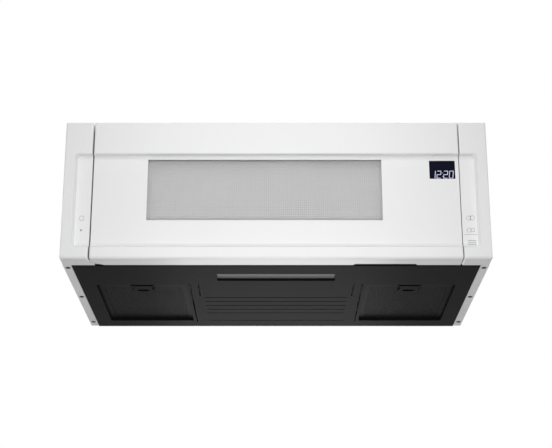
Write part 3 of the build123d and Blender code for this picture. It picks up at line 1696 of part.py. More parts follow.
# ---- Latch board behind the front plate, with its two switches and their plungers ----------------
board_left = latch_x - latch_board_width / 2
board_right = latch_x + latch_board_width / 2
board_low = hook_heights[0] - latch_board_below
board_high = hook_heights[1] + latch_board_above
plunger_y = hook_tip + touch
switch_front = plunger_y + plunger_proud
with BuildPart() as latch_board:
    block(
        (board_left, board_right),
        (plate_rear, plate_rear + latch_board_wall),
        (board_low, board_high),
    )
    block(
        (board_right - latch_board_wall, board_right),
        (plate_rear, plate_rear + latch_board_depth),
        (board_low, board_high),
    )
    for hook_z in hook_heights:
        block(
            (latch_x - slot_side, latch_x + slot_side),
            (plate_rear - over, plate_rear + latch_board_wall + over),
            (hook_z - hook_nose - hook_clearance, hook_z + hook_height + latch_travel + hook_clearance),
            mode=Mode.SUBTRACT,
        )
        # Shelf that the switch is pinned to.
        switch_low = hook_z + switch_lift - switch_height / 2
        block(
            (latch_x - switch_width / 2, board_right),
            (switch_front, switch_front + switch_depth),
            (switch_low - latch_board_wall, switch_low),
        )
latch_board.part.label = "latch_board"
export_step(latch_board.part, "parts/latch_board.step")

with BuildPart() as interlock_switches:
    for hook_z in hook_heights:
        plunger_z = hook_z + hook_height - plunger_side / 2
        block(
            (latch_x - switch_width / 2, latch_x + switch_width / 2),
            (switch_front, switch_front + switch_depth),
            (hook_z + switch_lift - switch_height / 2, hook_z + switch_lift + switch_height / 2),
        )
        half_hole = plunger_side / 2 + plunger_fit
        block(
            (latch_x - half_hole, latch_x + half_hole),
            (switch_front - over, switch_front + plunger_depth + switch_travel + touch),
            (plunger_z - half_hole, plunger_z + half_hole),
            mode=Mode.SUBTRACT,
        )
interlock_switches.part.label = "interlock_switches"
export_step(interlock_switches.part, "parts/interlock_switches.step")

plunger_names = ("lower_switch_plunger", "upper_switch_plunger")
for hook_z, plunger_name in zip(hook_heights, plunger_names):
    plunger_z = hook_z + hook_height - plunger_side / 2
    with BuildPart() as plunger:
        block(
            (latch_x - plunger_side / 2, latch_x + plunger_side / 2),
            (plunger_y, switch_front + plunger_depth),
            (plunger_z - plunger_side / 2, plunger_z + plunger_side / 2),
        )
    plunger.part.label = plunger_name
    export_step(plunger.part, f"parts/{plunger_name}.step")
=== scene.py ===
"""An over-the-range microwave oven with a cooktop hood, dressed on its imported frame.

Metres, in the frame of the model: +X to the right of someone facing the oven, +Y into the kitchen
wall, +Z up, with the origin on the wall face level with the underside of the base.
"""

import json
import math

import bmesh
import bpy
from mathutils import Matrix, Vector

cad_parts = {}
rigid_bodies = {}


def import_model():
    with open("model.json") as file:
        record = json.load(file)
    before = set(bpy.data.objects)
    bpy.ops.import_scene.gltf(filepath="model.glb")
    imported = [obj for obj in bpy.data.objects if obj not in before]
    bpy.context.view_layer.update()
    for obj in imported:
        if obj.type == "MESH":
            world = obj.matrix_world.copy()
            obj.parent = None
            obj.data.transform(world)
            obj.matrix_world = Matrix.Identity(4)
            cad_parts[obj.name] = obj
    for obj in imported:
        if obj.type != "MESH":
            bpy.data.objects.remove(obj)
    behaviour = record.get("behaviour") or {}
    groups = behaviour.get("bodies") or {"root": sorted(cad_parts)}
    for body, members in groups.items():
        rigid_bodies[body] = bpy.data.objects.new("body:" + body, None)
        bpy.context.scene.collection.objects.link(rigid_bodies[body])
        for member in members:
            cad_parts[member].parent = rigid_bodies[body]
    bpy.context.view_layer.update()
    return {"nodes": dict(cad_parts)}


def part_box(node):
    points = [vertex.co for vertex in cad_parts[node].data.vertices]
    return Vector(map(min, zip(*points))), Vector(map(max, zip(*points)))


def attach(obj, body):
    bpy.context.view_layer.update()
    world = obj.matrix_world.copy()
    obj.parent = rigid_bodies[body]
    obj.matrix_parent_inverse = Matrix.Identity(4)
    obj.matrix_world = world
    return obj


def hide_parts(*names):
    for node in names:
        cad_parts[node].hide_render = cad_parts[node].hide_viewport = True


for leftover in list(bpy.data.objects):
    bpy.data.objects.remove(leftover)
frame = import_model()


# ---- Outer case ----------------------------------------------------------------------------------
# One steel sheet folded over the top and both sides, with its lower edges turned in as flanges.
# It is powder coated satin white after folding, so the light on it is soft and slightly pebbled.
def linear(code):
    """A #RRGGBB colour as linear red, green, blue and alpha."""
    channels = [int(code[start:start + 2], 16) / 255 for start in (1, 3, 5)]
    return tuple(
        c / 12.92 if c <= 0.04045 else ((c + 0.055) / 1.055) ** 2.4 for c in channels
    ) + (1.0,)


def add_node(tree, kind, feeds=None, **settings):
    """One node: settings are its properties, feeds its inputs, each a value or another socket."""
    node = tree.nodes.new(kind)
    for name, value in settings.items():
        setattr(node, name, value)
    for socket, value in (feeds or {}).items():
        if isinstance(value, bpy.types.NodeSocket):
            tree.links.new(value, node.inputs[socket])
        else:
            node.inputs[socket].default_value = value
    return node


def start_finish(name, **numbers):
    """A new material with its shader, its output and the piece's own coordinates in metres."""
    finish = bpy.data.materials.new(name)
    finish.use_nodes = True
    tree = finish.node_tree
    tree.nodes.clear()
    shader = add_node(tree, "ShaderNodeBsdfPrincipled", numbers)
    add_node(tree, "ShaderNodeOutputMaterial", {"Surface": shader.outputs["BSDF"]})
    place = add_node(tree, "ShaderNodeTexCoord").outputs["Object"]
    return finish, tree, shader, place


def two_tone(tree, shader, pattern, first, second):
    """Feeds the shader's colour from two hex colours mixed by a pattern."""
    mix = add_node(tree, "ShaderNodeMix", {"Factor": pattern}, data_type="RGBA")
    mix.inputs["A"].default_value = linear(first)
    mix.inputs["B"].default_value = linear(second)
    tree.links.new(mix.outputs["Result"], shader.inputs["Base Color"])


def vary_roughness(tree, shader, pattern, low, high):
    """Spreads the shader's roughness between two numbers by a pattern."""
    spread = add_node(
        tree, "ShaderNodeMapRange", {"Value": pattern, "To Min": low, "To Max": high}
    )
    tree.links.new(spread.outputs["Result"], shader.inputs["Roughness"])


def raise_surface(tree, shader, pattern, height, strength):
    """Bump from a pattern, with its height in metres."""
    bump = add_node(
        tree, "ShaderNodeBump", {"Height": pattern, "Distance": height, "Strength": strength}
    )
    tree.links.new(bump.outputs["Normal"], shader.inputs["Normal"])


def coat(finish, *node_names):
    """Gives CAD nodes their material."""
    for node_name in node_names:
        slots = frame["nodes"][node_name].data.materials
        slots.clear()
        slots.append(finish)


# Polyester powder, gloss 40: pebbles 1.4 mm across and a few hundredths of a millimetre high, in a
# white that drifts by a shade over 11 cm.
pebble_size = 0.0014
drift_size = 0.111
powder_white, tree, shader, place = start_finish("satin_powder_coat_white")
drift = add_node(tree, "ShaderNodeTexNoise", {"Vector": place, "Scale": 1 / drift_size})
pebble = add_node(tree, "ShaderNodeTexNoise", {"Vector": place, "Scale": 1 / pebble_size})
two_tone(tree, shader, drift.outputs["Fac"], "#E9E9EA", "#EFEFEF")
vary_roughness(tree, shader, drift.outputs["Fac"], 0.38, 0.48)
raise_surface(tree, shader, pebble.outputs["Fac"], 0.00003, 0.5)
coat(powder_white, "outer_case")


# ---- Rear panel and inner sheet metal ------------------------------------------------------------
# Bare galvanised sheet that hangs on the wall plate by two slots near its foot. The ducts, brackets
# and shelf inside are cut from the same sheet, and the zinc shows on all of it as a mosaic of dull
# and bright crystals about 9 mm across.
spangle_size = 0.009
grain_size = 0.00111
galvanised, tree, shader, place = start_finish("galvanised_steel", Metallic=1.0)
crystal = add_node(tree, "ShaderNodeTexVoronoi", {"Vector": place, "Scale": 1 / spangle_size})
grain = add_node(
    tree, "ShaderNodeTexNoise", {"Vector": place, "Scale": 1 / grain_size, "Detail": 3.0}
)
shade = add_node(tree, "ShaderNodeSeparateColor", {"Color": crystal.outputs["Color"]})
two_tone(tree, shader, shade.outputs["Red"], "#9EA1A4", "#BDC0C2")
vary_roughness(tree, shader, shade.outputs["Green"], 0.34, 0.52)
raise_surface(tree, shader, grain.outputs["Fac"], 0.00001, 0.6)
coat(
    galvanised,
    "rear_panel", "component_tray", "blower_plate", "blower_housing", "damper_housing",
    "damper_flap", "waveguide", "fan_shroud", "hinge_brackets",
)


# ---- Nuts under the top and the cord inlet's grommet ---------------------------------------------
# Two weld nuts take the bolts that come down through the cabinet. Where the mains lead goes up, a
# soft black ring covers the sheet's cut edge.
def band_scale(pitch):
    """The scale at which a wave texture's bands lie a pitch apart, in metres."""
    return math.pi / 10 / pitch


# Bright zinc over turned steel: feed marks 0.19 mm apart soften its shine.
turned_pitch = 0.0001885
zinc_plate, tree, shader, place = start_finish("bright_zinc_plate", Metallic=1.0)
marks = add_node(
    tree,
    "ShaderNodeTexWave",
    {"Vector": place, "Scale": band_scale(turned_pitch), "Distortion": 1.5},
)
two_tone(tree, shader, marks.outputs["Fac"], "#A9ACAF", "#B9BCC0")
vary_roughness(tree, shader, marks.outputs["Fac"], 0.26, 0.36)
coat(zinc_plate, "top_nuts", "hinge_pins", "blower_shaft", "latch_spring")

# Moulded rubber: dull, with a dusty bloom in patches 4 mm across.
bloom_size = 0.00385
rubber_black, tree, shader, place = start_finish("moulded_black_rubber", Roughness=0.75)
bloom = add_node(
    tree, "ShaderNodeTexNoise", {"Vector": place, "Scale": 1 / bloom_size, "Detail": 4.0}
)
two_tone(tree, shader, bloom.outputs["Fac"], "#1B1B1C", "#2A2A2B")
raise_surface(tree, shader, bloom.outputs["Fac"], 0.00005, 0.4)
coat(rubber_black, "cord_grommet")


# ---- Base pan ------------------------------------------------------------------------------------
# A shallow steel pan pressed with air slots and louvres, and powder coated a fine black texture.
# The grit in the powder is under a millimetre across, so the surface reads as matt charcoal.
grit_size = 0.0009
haze_size = 0.167
powder_black, tree, shader, place = start_finish(
    "textured_powder_coat_black", **{"Specular IOR Level": 0.014}
)
grit = add_node(
    tree, "ShaderNodeTexNoise", {"Vector": place, "Scale": 1 / grit_size, "Detail": 3.0}
)
haze = add_node(tree, "ShaderNodeTexNoise", {"Vector": place, "Scale": 1 / haze_size})
two_tone(tree, shader, haze.outputs["Fac"], "#161617", "#1A1A1B")
vary_roughness(tree, shader, grit.outputs["Fac"], 0.36, 0.46)
raise_surface(tree, shader, grit.outputs["Fac"], 0.00006, 0.5)
coat(powder_black, "base_plate")


# ---- Flange screws -------------------------------------------------------------------------------
# Six pan-head machine screws with a cross recess, black zinc plated, hold the pan to the case's
# flanges. Each stopped at its own angle when it was driven.
def start_tree(name, sizes):
    """A new Geometry Nodes tree with a named input for each size, and the sizes by identifier."""
    tree = bpy.data.node_groups.new(name, "GeometryNodeTree")
    tree.interface.new_socket("Geometry", in_out="INPUT", socket_type="NodeSocketGeometry")
    tree.interface.new_socket("Geometry", in_out="OUTPUT", socket_type="NodeSocketGeometry")
    kinds = {int: "NodeSocketInt", float: "NodeSocketFloat", tuple: "NodeSocketVector"}
    values = {}
    for label, size in sizes.items():
        socket = tree.interface.new_socket(label, in_out="INPUT", socket_type=kinds[type(size)])
        values[socket.identifier] = size
    return tree, add_node(tree, "NodeGroupInput").outputs, values


def set_on_points(tree, group, form, finish, turn=(0.0, 0.0, 0.0)):
    """Ends a tree with its form on each point, made real and given its material."""
    copies = add_node(
        tree,
        "GeometryNodeInstanceOnPoints",
        {"Points": group["Geometry"], "Instance": form, "Rotation": turn},
    ).outputs["Instances"]
    solid = add_node(tree, "GeometryNodeRealizeInstances", {"Geometry": copies})
    painted = add_node(
        tree,
        "GeometryNodeSetMaterial",
        {"Geometry": solid.outputs["Geometry"], "Material": finish},
    )
    add_node(tree, "NodeGroupOutput", {"Geometry": painted.outputs["Geometry"]})


def grow(name, points, tree, values):
    """Runs a tree on a mesh of points and keeps the result as a plain mesh object."""
    mesh = bpy.data.meshes.new(name)
    mesh.from_pydata(points, [], [])
    piece = bpy.data.objects.new(name, mesh)
    bpy.context.scene.collection.objects.link(piece)
    modifier = piece.modifiers.new("made", "NODES")
    modifier.node_group = tree
    for identifier, value in values.items():
        modifier[identifier] = value
    graph = bpy.context.evaluated_depsgraph_get()
    result = bpy.data.meshes.new_from_object(piece.evaluated_get(graph))
    piece.modifiers.clear()
    piece.data = result
    return piece


# Black zinc plate: almost black, with a low shine that smears 2 mm across break up.
smear_size = 0.002
black_zinc, tree, shader, place = start_finish("black_zinc_plate", Metallic=0.2, Roughness=0.45)
smear = add_node(tree, "ShaderNodeTexNoise", {"Vector": place, "Scale": 1 / smear_size})
two_tone(tree, shader, smear.outputs["Fac"], "#0D0D0E", "#161617")
raise_surface(tree, shader, smear.outputs["Fac"], 0.00002, 0.4)

# Each arm of the recess is a block centred on the crown, so it cuts to half its height.
head_radius = 0.0042
head_height = 0.0012
drive_arm = (0.0046, 0.0009, 0.0015)
middle_screw_y = -0.2085
screws_low, screws_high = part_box("flange_screws")
seat_z = screws_low.z + head_height
screw_x = screws_high.x - head_radius
screw_ys = (screws_low.y + head_radius, middle_screw_y, screws_high.y - head_radius)
tree, group, values = start_tree(
    "pan_head_screws",
    {"Head Radius": head_radius, "Head Height": head_height, "Drive Arm": drive_arm},
)
half_height, skirt_z, dome_z, drive_z = (
    add_node(
        tree, "ShaderNodeMath", {0: group["Head Height"], 1: share}, operation="MULTIPLY"
    ).outputs[0]
    for share in (0.5, -0.25, -0.5, -1.0)
)
skirt = add_node(
    tree,
    "GeometryNodeMeshCylinder",
    {"Vertices": 40, "Radius": group["Head Radius"], "Depth": half_height},
)
dome = add_node(tree, "GeometryNodeMeshUVSphere", {"Segments": 40, "Rings": 16, "Radius": 1.0})
dome_size = add_node(
    tree,
    "ShaderNodeCombineXYZ",
    {"X": group["Head Radius"], "Y": group["Head Radius"], "Z": half_height},
).outputs[0]
arm = add_node(tree, "GeometryNodeMeshCube", {"Size": group["Drive Arm"]})
head = add_node(tree, "GeometryNodeMeshBoolean", operation="UNION", solver="EXACT")
screw = add_node(
    tree,
    "GeometryNodeMeshBoolean",
    {"Mesh 1": head.outputs["Mesh"]},
    operation="DIFFERENCE",
    solver="EXACT",
)
as_made = (1.0, 1.0, 1.0)
for form, height, scale, quarter, boolean in (
    (dome, dome_z, dome_size, 0.0, head),
    (skirt, skirt_z, as_made, 0.0, head),
    (arm, drive_z, as_made, 0.0, screw),
    (arm, drive_z, as_made, math.pi / 2, screw),
):
    rise = add_node(tree, "ShaderNodeCombineXYZ", {"Z": height})
    placed = add_node(
        tree,
        "GeometryNodeTransform",
        {
            "Geometry": form.outputs["Mesh"],
            "Translation": rise.outputs[0],
            "Rotation": (0.0, 0.0, quarter),
            "Scale": scale,
        },
    )
    tree.links.new(placed.outputs["Geometry"], boolean.inputs["Mesh 2"])
turn = add_node(
    tree,
    "FunctionNodeRandomValue",
    {"Min": (0.0, 0.0, 0.0), "Max": (0.0, 0.0, math.pi), "Seed": 7},
    data_type="FLOAT_VECTOR",
)
set_on_points(tree, group, screw.outputs["Mesh"], black_zinc, turn.outputs["Value"])
screw_points = [(side * screw_x, y, seat_z) for side in (-1, 1) for y in screw_ys]
flange_screws = grow("flange_screw_heads", screw_points, tree, values)
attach(flange_screws, "cabinet")
coat(black_zinc, "flange_screws")
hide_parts("flange_screws")


# ---- Cooktop lamp --------------------------------------------------------------------------------
# A frosted polycarbonate strip set up into the pan, with a board of white diodes above it. A
# shallow swell 16 mm across spreads the light, and unlit the strip looks mid grey.
swell_pitch = 0.01571
frost_size = 0.000667
frosted, tree, shader, place = start_finish(
    "frosted_polycarbonate", Roughness=0.42, IOR=1.58, **{"Transmission Weight": 0.15}
)
swell = add_node(
    tree,
    "ShaderNodeTexWave",
    {"Vector": place, "Scale": band_scale(swell_pitch)},
    bands_direction="Y",
)
frost = add_node(tree, "ShaderNodeTexNoise", {"Vector": place, "Scale": 1 / frost_size})
two_tone(tree, shader, frost.outputs["Fac"], "#676769", "#727274")
raise_surface(tree, shader, swell.outputs["Fac"], 0.0001, 0.4)
coat(frosted, "light_lens")

# Green lacquer over copper, which shows through as raised lands in rows 4 mm apart. A brick
# texture's rows are a quarter of its unit apart.
land_pitch = 0.00417
solder_mask, tree, shader, place = start_finish("green_solder_mask_board", Roughness=0.35)
copper = add_node(
    tree,
    "ShaderNodeTexBrick",
    {
        "Vector": place,
        "Scale": 0.25 / land_pitch,
        "Color1": linear("#1D5B33"),
        "Color2": linear("#23683B"),
        "Mortar": linear("#12421F"),
        "Mortar Size": 0.06,
    },
)
tree.links.new(copper.outputs["Color"], shader.inputs["Base Color"])
raise_surface(tree, shader, copper.outputs["Fac"], 0.00004, 0.5)
coat(solder_mask, "light_board", "touch_boards", "display_board", "power_board")


# ---- Grease filters ------------------------------------------------------------------------------
# Two framed pads of expanded aluminium, dark anodised, that lift out for washing. Each frame is
# rolled from thin strip, and the outer layer of mesh, slit and stretched, is a field of diamonds.
def pierced_sheet(tree, edges, lattice, depth, cell_scale=(1.0, 1.0, 1.0)):
    """A closed plate of like cells on a lattice, each filled between its edge and its hole."""
    weld_gap = 0.00005
    outline = add_node(tree, "GeometryNodeJoinGeometry")
    for edge in edges:
        tree.links.new(edge.outputs["Curve"], outline.inputs["Geometry"])
    cell = add_node(tree, "GeometryNodeFillCurve", {"Curve": outline.outputs["Geometry"]})
    cells = add_node(
        tree,
        "GeometryNodeInstanceOnPoints",
        {"Points": lattice, "Instance": cell.outputs["Mesh"], "Scale": cell_scale},
    ).outputs["Instances"]
    loose = add_node(tree, "GeometryNodeRealizeInstances", {"Geometry": cells})
    sheet = add_node(
        tree,
        "GeometryNodeMergeByDistance",
        {"Geometry": loose.outputs["Geometry"], "Distance": weld_gap},
    ).outputs["Geometry"]
    raised = add_node(
        tree,
        "GeometryNodeExtrudeMesh",
        {"Mesh": sheet, "Offset Scale": depth, "Individual": False},
    )
    under = add_node(tree, "GeometryNodeFlipFaces", {"Mesh": sheet})
    shell = add_node(tree, "GeometryNodeJoinGeometry")
    for half in (raised, under):
        tree.links.new(half.outputs["Mesh"], shell.inputs["Geometry"])
    return add_node(
        tree,
        "GeometryNodeMergeByDistance",
        {"Geometry": shell.outputs["Geometry"], "Distance": weld_gap},
    ).outputs["Geometry"]


# Anodised strip: almost black, with drawn streaks 25 mm long and 0.4 mm wide in its dull shine.
streak_length = 0.025
streak_width = 0.000385
anodised, tree, shader, place = start_finish(
    "dark_anodised_aluminium", **{"Specular IOR Level": 0.02}
)
drawn = add_node(
    tree,
    "ShaderNodeMapping",
    {"Vector": place, "Scale": (1 / streak_width, 1 / streak_length, 1 / streak_width)},
)
streak = add_node(tree, "ShaderNodeTexNoise", {"Vector": drawn.outputs["Vector"], "Scale": 1.0})
two_tone(tree, shader, streak.outputs["Fac"], "#161617", "#1A1A1B")
vary_roughness(tree, shader, streak.outputs["Fac"], 0.34, 0.46)
coat(anodised, "left_filter_frame", "right_filter_frame")

# Etched and anodised mesh: as dull as the frames and a little lighter, pitted at 0.7 mm.
etch_size = 0.000714
mesh_dark, tree, shader, place = start_finish(
    "dark_expanded_aluminium", **{"Specular IOR Level": 0.05}
)
etch = add_node(tree, "ShaderNodeTexNoise", {"Vector": place, "Scale": 1 / etch_size})
two_tone(tree, shader, etch.outputs["Fac"], "#222223", "#2A2A2B")
vary_roughness(tree, shader, etch.outputs["Fac"], 0.34, 0.46)
raise_surface(tree, shader, etch.outputs["Fac"], 0.00004, 0.4)
coat(mesh_dark, "left_filter_mesh", "right_filter_mesh")

# The outer layer stands on a plain core that takes the rest of the pad's depth.
diamond_length = 0.0091
diamond_width = 0.0046
opening_share = 0.74
layer_depth = 0.0006
pad_low, pad_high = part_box("left_filter_mesh")
pad_size = pad_high - pad_low
tree, group, values = start_tree(
    "expanded_aluminium_pad",
    {
        "Pad Size": tuple(pad_size),
        "Columns": round(pad_size.x / diamond_length),
        "Rows": round(pad_size.y / diamond_width),
        "Opening Share": opening_share,
        "Layer Depth": layer_depth,
    },
)
pad = add_node(tree, "ShaderNodeSeparateXYZ", {"Vector": group["Pad Size"]}).outputs
ways = (("X", "Columns"), ("Y", "Rows"))
diamond = {
    axis: add_node(
        tree, "ShaderNodeMath", {0: pad[axis], 1: group[count]}, operation="DIVIDE"
    ).outputs[0]
    for axis, count in ways
}
diamond_scale = add_node(tree, "ShaderNodeCombineXYZ", {**diamond, "Z": 1.0}).outputs[0]
hole_reach = add_node(
    tree, "ShaderNodeMath", {0: group["Opening Share"], 1: 0.5}, operation="MULTIPLY"
).outputs[0]
edges = [
    add_node(tree, "GeometryNodeCurvePrimitiveCircle", {"Resolution": 4, "Radius": reach})
    for reach in (0.5, hole_reach)
]

# Diamonds sit on two grids, the second set in by half a diamond on every side of the first.
lattice = add_node(tree, "GeometryNodeJoinGeometry")
for inset in (1, 2):
    spans = {
        f"Size {axis}": add_node(
            tree, "ShaderNodeMath", {0: step, 1: -inset, 2: pad[axis]}, operation="MULTIPLY_ADD"
        ).outputs[0]
        for axis, step in diamond.items()
    }
    counts = {
        f"Vertices {axis}": add_node(
            tree, "ShaderNodeMath", {0: group[count], 1: inset - 1}, operation="SUBTRACT"
        ).outputs[0]
        for axis, count in ways
    }
    grid = add_node(tree, "GeometryNodeMeshGrid", {**spans, **counts})
    tree.links.new(grid.outputs["Mesh"], lattice.inputs["Geometry"])
layer = pierced_sheet(
    tree, edges, lattice.outputs["Geometry"], group["Layer Depth"], diamond_scale
)
layer_z = add_node(tree, "ShaderNodeMath", {0: pad["Z"], 1: -0.5}, operation="MULTIPLY")
core_inset = add_node(
    tree, "ShaderNodeMath", {0: group["Layer Depth"], 1: 1.5}, operation="MULTIPLY"
).outputs[0]
core_z = add_node(tree, "ShaderNodeMath", {0: core_inset, 1: 0.5}, operation="MULTIPLY")
core_height = add_node(
    tree, "ShaderNodeMath", {0: pad["Z"], 1: core_inset}, operation="SUBTRACT"
).outputs[0]
core_size = add_node(
    tree, "ShaderNodeCombineXYZ", {"X": pad["X"], "Y": pad["Y"], "Z": core_height}
)
core = add_node(tree, "GeometryNodeMeshCube", {"Size": core_size.outputs[0]})
whole = add_node(tree, "GeometryNodeJoinGeometry")
for form, height in ((core.outputs["Mesh"], core_z), (layer, layer_z)):
    rise = add_node(tree, "ShaderNodeCombineXYZ", {"Z": height.outputs[0]})
    placed = add_node(
        tree, "GeometryNodeTransform", {"Geometry": form, "Translation": rise.outputs[0]}
    )
    tree.links.new(placed.outputs["Geometry"], whole.inputs["Geometry"])
set_on_points(tree, group, whole.outputs["Geometry"], mesh_dark)
for side in ("left", "right"):
    pad_low, pad_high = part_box(f"{side}_filter_mesh")
    centre = tuple((pad_low + pad_high) / 2)
    mesh_pad = grow(f"{side}_expanded_pad", [centre], tree, values)
    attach(mesh_pad, f"{side}_filter")
    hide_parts(f"{side}_filter_mesh")

# The ring pulls are black acetal: dense, slightly waxy, with soft highlights.
wax_size = 0.00143
acetal_black, tree, shader, place = start_finish(
    "black_acetal", Roughness=0.45, **{"Specular IOR Level": 0.02}
)
wax = add_node(
    tree, "ShaderNodeTexNoise", {"Vector": place, "Scale": 1 / wax_size, "Detail": 3.0}
)
two_tone(tree, shader, wax.outputs["Fac"], "#111112", "#171718")
raise_surface(tree, shader, wax.outputs["Fac"], 0.00003, 0.4)
coat(
    acetal_black,
    "left_filter_ring", "right_filter_ring", "handle_pocket", "latch_lever", "latch_board",
    "interlock_switches", "lower_switch_plunger", "upper_switch_plunger",
)


# ---- Oven cavity and front plate -----------------------------------------------------------------
# Steel box welded to its front plate, all in light grey baked enamel paint with tiny dark flecks
# that hide stains. The paint sags a little as it is baked, in waves 8 mm across.
fleck_pitch = 0.006
sag_size = 0.00833
enamel, tree, shader, place = start_finish("flecked_grey_oven_enamel", Roughness=0.3)
fleck = add_node(tree, "ShaderNodeTexVoronoi", {"Vector": place, "Scale": 1 / fleck_pitch})
dot = add_node(
    tree,
    "ShaderNodeMapRange",
    {
        "Value": fleck.outputs["Distance"],
        "From Min": 0.05,
        "From Max": 0.1,
        "To Min": 1.0,
        "To Max": 0.0,
    },
)
sag = add_node(tree, "ShaderNodeTexNoise", {"Vector": place, "Scale": 1 / sag_size})
two_tone(tree, shader, dot.outputs["Result"], "#C9C9C6", "#8F908F")
raise_surface(tree, shader, sag.outputs["Fac"], 0.00008, 0.3)
coat(enamel, "oven_cavity", "door_frame")


# ---- Turntable -----------------------------------------------------------------------------------
# A toughened glass tray on a moulded coupler and a ring of three rollers. Pressed circles under
# the tray catch the light every 12 mm.
circle_pitch = 0.012
tray_low, tray_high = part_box("glass_tray")
axis_x = (tray_low.x + tray_high.x) / 2
axis_y = (tray_low.y + tray_high.y) / 2
tray_glass, tree, shader, place = start_finish(
    "toughened_tray_glass", Roughness=0.03, IOR=1.5, **{"Transmission Weight": 1.0}
)
shader.inputs["Base Color"].default_value = linear("#E8F2EF")
centred = add_node(
    tree, "ShaderNodeMapping", {"Vector": place, "Location": (-axis_x, -axis_y, 0.0)}
)
rings = add_node(
    tree,
    "ShaderNodeTexWave",
    {"Vector": centred.outputs["Vector"], "Scale": band_scale(circle_pitch)},
    wave_type="RINGS",
    rings_direction="Z",
)
raise_surface(tree, shader, rings.outputs["Fac"], 0.0004, 0.5)
coat(tray_glass, "glass_tray")

# Moulded polypropylene: pale grey, clouded where the melt flowed, and a little waxy.
flow_size = 0.0167
polypropylene, tree, shader, place = start_finish("grey_polypropylene", Roughness=0.5)
flow = add_node(
    tree, "ShaderNodeTexNoise", {"Vector": place, "Scale": 1 / flow_size, "Detail": 3.0}
)
two_tone(tree, shader, flow.outputs["Fac"], "#B4B5B6", "#C2C3C4")
raise_surface(tree, shader, flow.outputs["Fac"], 0.00006, 0.4)
coat(
    polypropylene,
    "turntable_coupler", "roller_ring", "roller_1", "roller_2", "roller_3", "fan_blade",
    "blower_wheels",
)


# ---- Magnetron, waveguide cover and cavity lamp --------------------------------------------------
# The magnetron's cooling fins sit in a plated yoke; a sheet of pressed mica keeps grease out of
# the waveguide, and a small clear lamp shines through holes in the cavity wall.

# Mill-finish aluminium: the rolls leave streaks 17 mm long and 0.6 mm wide in its soft shine.
roll_length = 0.0167
roll_width = 0.000556
aluminium_fins, tree, shader, place = start_finish("mill_finish_aluminium", Metallic=1.0)
rolled = add_node(
    tree,
    "ShaderNodeMapping",
    {"Vector": place, "Scale": (1 / roll_length, 1 / roll_width, 1 / roll_width)},
)
roll = add_node(tree, "ShaderNodeTexNoise", {"Vector": rolled.outputs["Vector"], "Scale": 1.0})
two_tone(tree, shader, roll.outputs["Fac"], "#A8AAAC", "#BABCBE")
vary_roughness(tree, shader, roll.outputs["Fac"], 0.3, 0.42)
coat(aluminium_fins, "magnetron", "hv_capacitor", "turntable_motor")

# Pressed mica: overlapping flakes 4.5 mm across, from tan to buff.
flake_size = 0.00455
mica_sheet, tree, shader, place = start_finish("pressed_mica", Roughness=0.55)
flake = add_node(tree, "ShaderNodeTexVoronoi", {"Vector": place, "Scale": 1 / flake_size})
shade = add_node(tree, "ShaderNodeSeparateColor", {"Color": flake.outputs["Color"]})
two_tone(tree, shader, shade.outputs["Red"], "#A89C86", "#C2B7A2")
coat(mica_sheet, "waveguide_cover")

# Clear bulb glass with a faint warm film, cloudy over 25 mm.
film_size = 0.025
bulb_glass, tree, shader, place = start_finish(
    "clear_bulb_glass", Roughness=0.05, IOR=1.5, **{"Transmission Weight": 0.7}
)
film = add_node(tree, "ShaderNodeTexNoise", {"Vector": place, "Scale": 1 / film_size})
two_tone(tree, shader, film.outputs["Fac"], "#F4EEDD", "#FBF7EC")
coat(bulb_glass, "cavity_lamp")


# ---- Transformer, motors and recirculating filter ------------------------------------------------
# Stacks of half-millimetre silicon steel sheets, welded, dipped in varnish and baked dark. The
# sheets are drawn 1 mm thick, because half of that is too fine to show.
sheet_pitch = 0.0010
laminations, tree, shader, place = start_finish("varnished_steel_laminations", Metallic=0.5)
stack = add_node(
    tree,
    "ShaderNodeTexWave",
    {"Vector": place, "Scale": band_scale(sheet_pitch)},
    bands_direction="X",
)
two_tone(tree, shader, stack.outputs["Fac"], "#2B2523", "#463C36")
vary_roughness(tree, shader, stack.outputs["Fac"], 0.35, 0.55)
raise_surface(tree, shader, stack.outputs["Fac"], 0.0001, 0.5)
coat(laminations, "hv_transformer", "blower_motor", "fan_motor")

# The recirculating filter is a pad of fibre charged with carbon granules 2.4 mm across.
granule_size = 0.00238
carbon, tree, shader, place = start_finish("carbon_granule_pad", Roughness=0.9)
granule = add_node(tree, "ShaderNodeTexVoronoi", {"Vector": place, "Scale": 1 / granule_size})
two_tone(tree, shader, granule.outputs["Distance"], "#202021", "#0D0D0E")
raise_surface(tree, shader, granule.outputs["Distance"], 0.0012, 0.8)
coat(carbon, "charcoal_filter")


# ---- Door and end columns ------------------------------------------------------------------------
# Three glossy white ABS mouldings that share one dished face: a ledge under the top strip, a flat
# panel set back 11 mm and a soft sweep out to the foot. The ABS is polished, and its orange peel,
# 3 mm across, only bends reflections.
tint_size = 0.2
peel_size = 0.003125
abs_white, tree, shader, place = start_finish("gloss_white_abs", IOR=1.53)
tint = add_node(tree, "ShaderNodeTexNoise", {"Vector": place, "Scale": 1 / tint_size})
peel = add_node(tree, "ShaderNodeTexNoise", {"Vector": place, "Scale": 1 / peel_size})
two_tone(tree, shader, tint.outputs["Fac"], "#EFEFF0", "#F3F3F3")
vary_roughness(tree, shader, peel.outputs["Fac"], 0.2, 0.3)
raise_surface(tree, shader, peel.outputs["Fac"], 0.000004, 0.5)
coat(abs_white, "door_front", "left_end_column", "right_end_column")


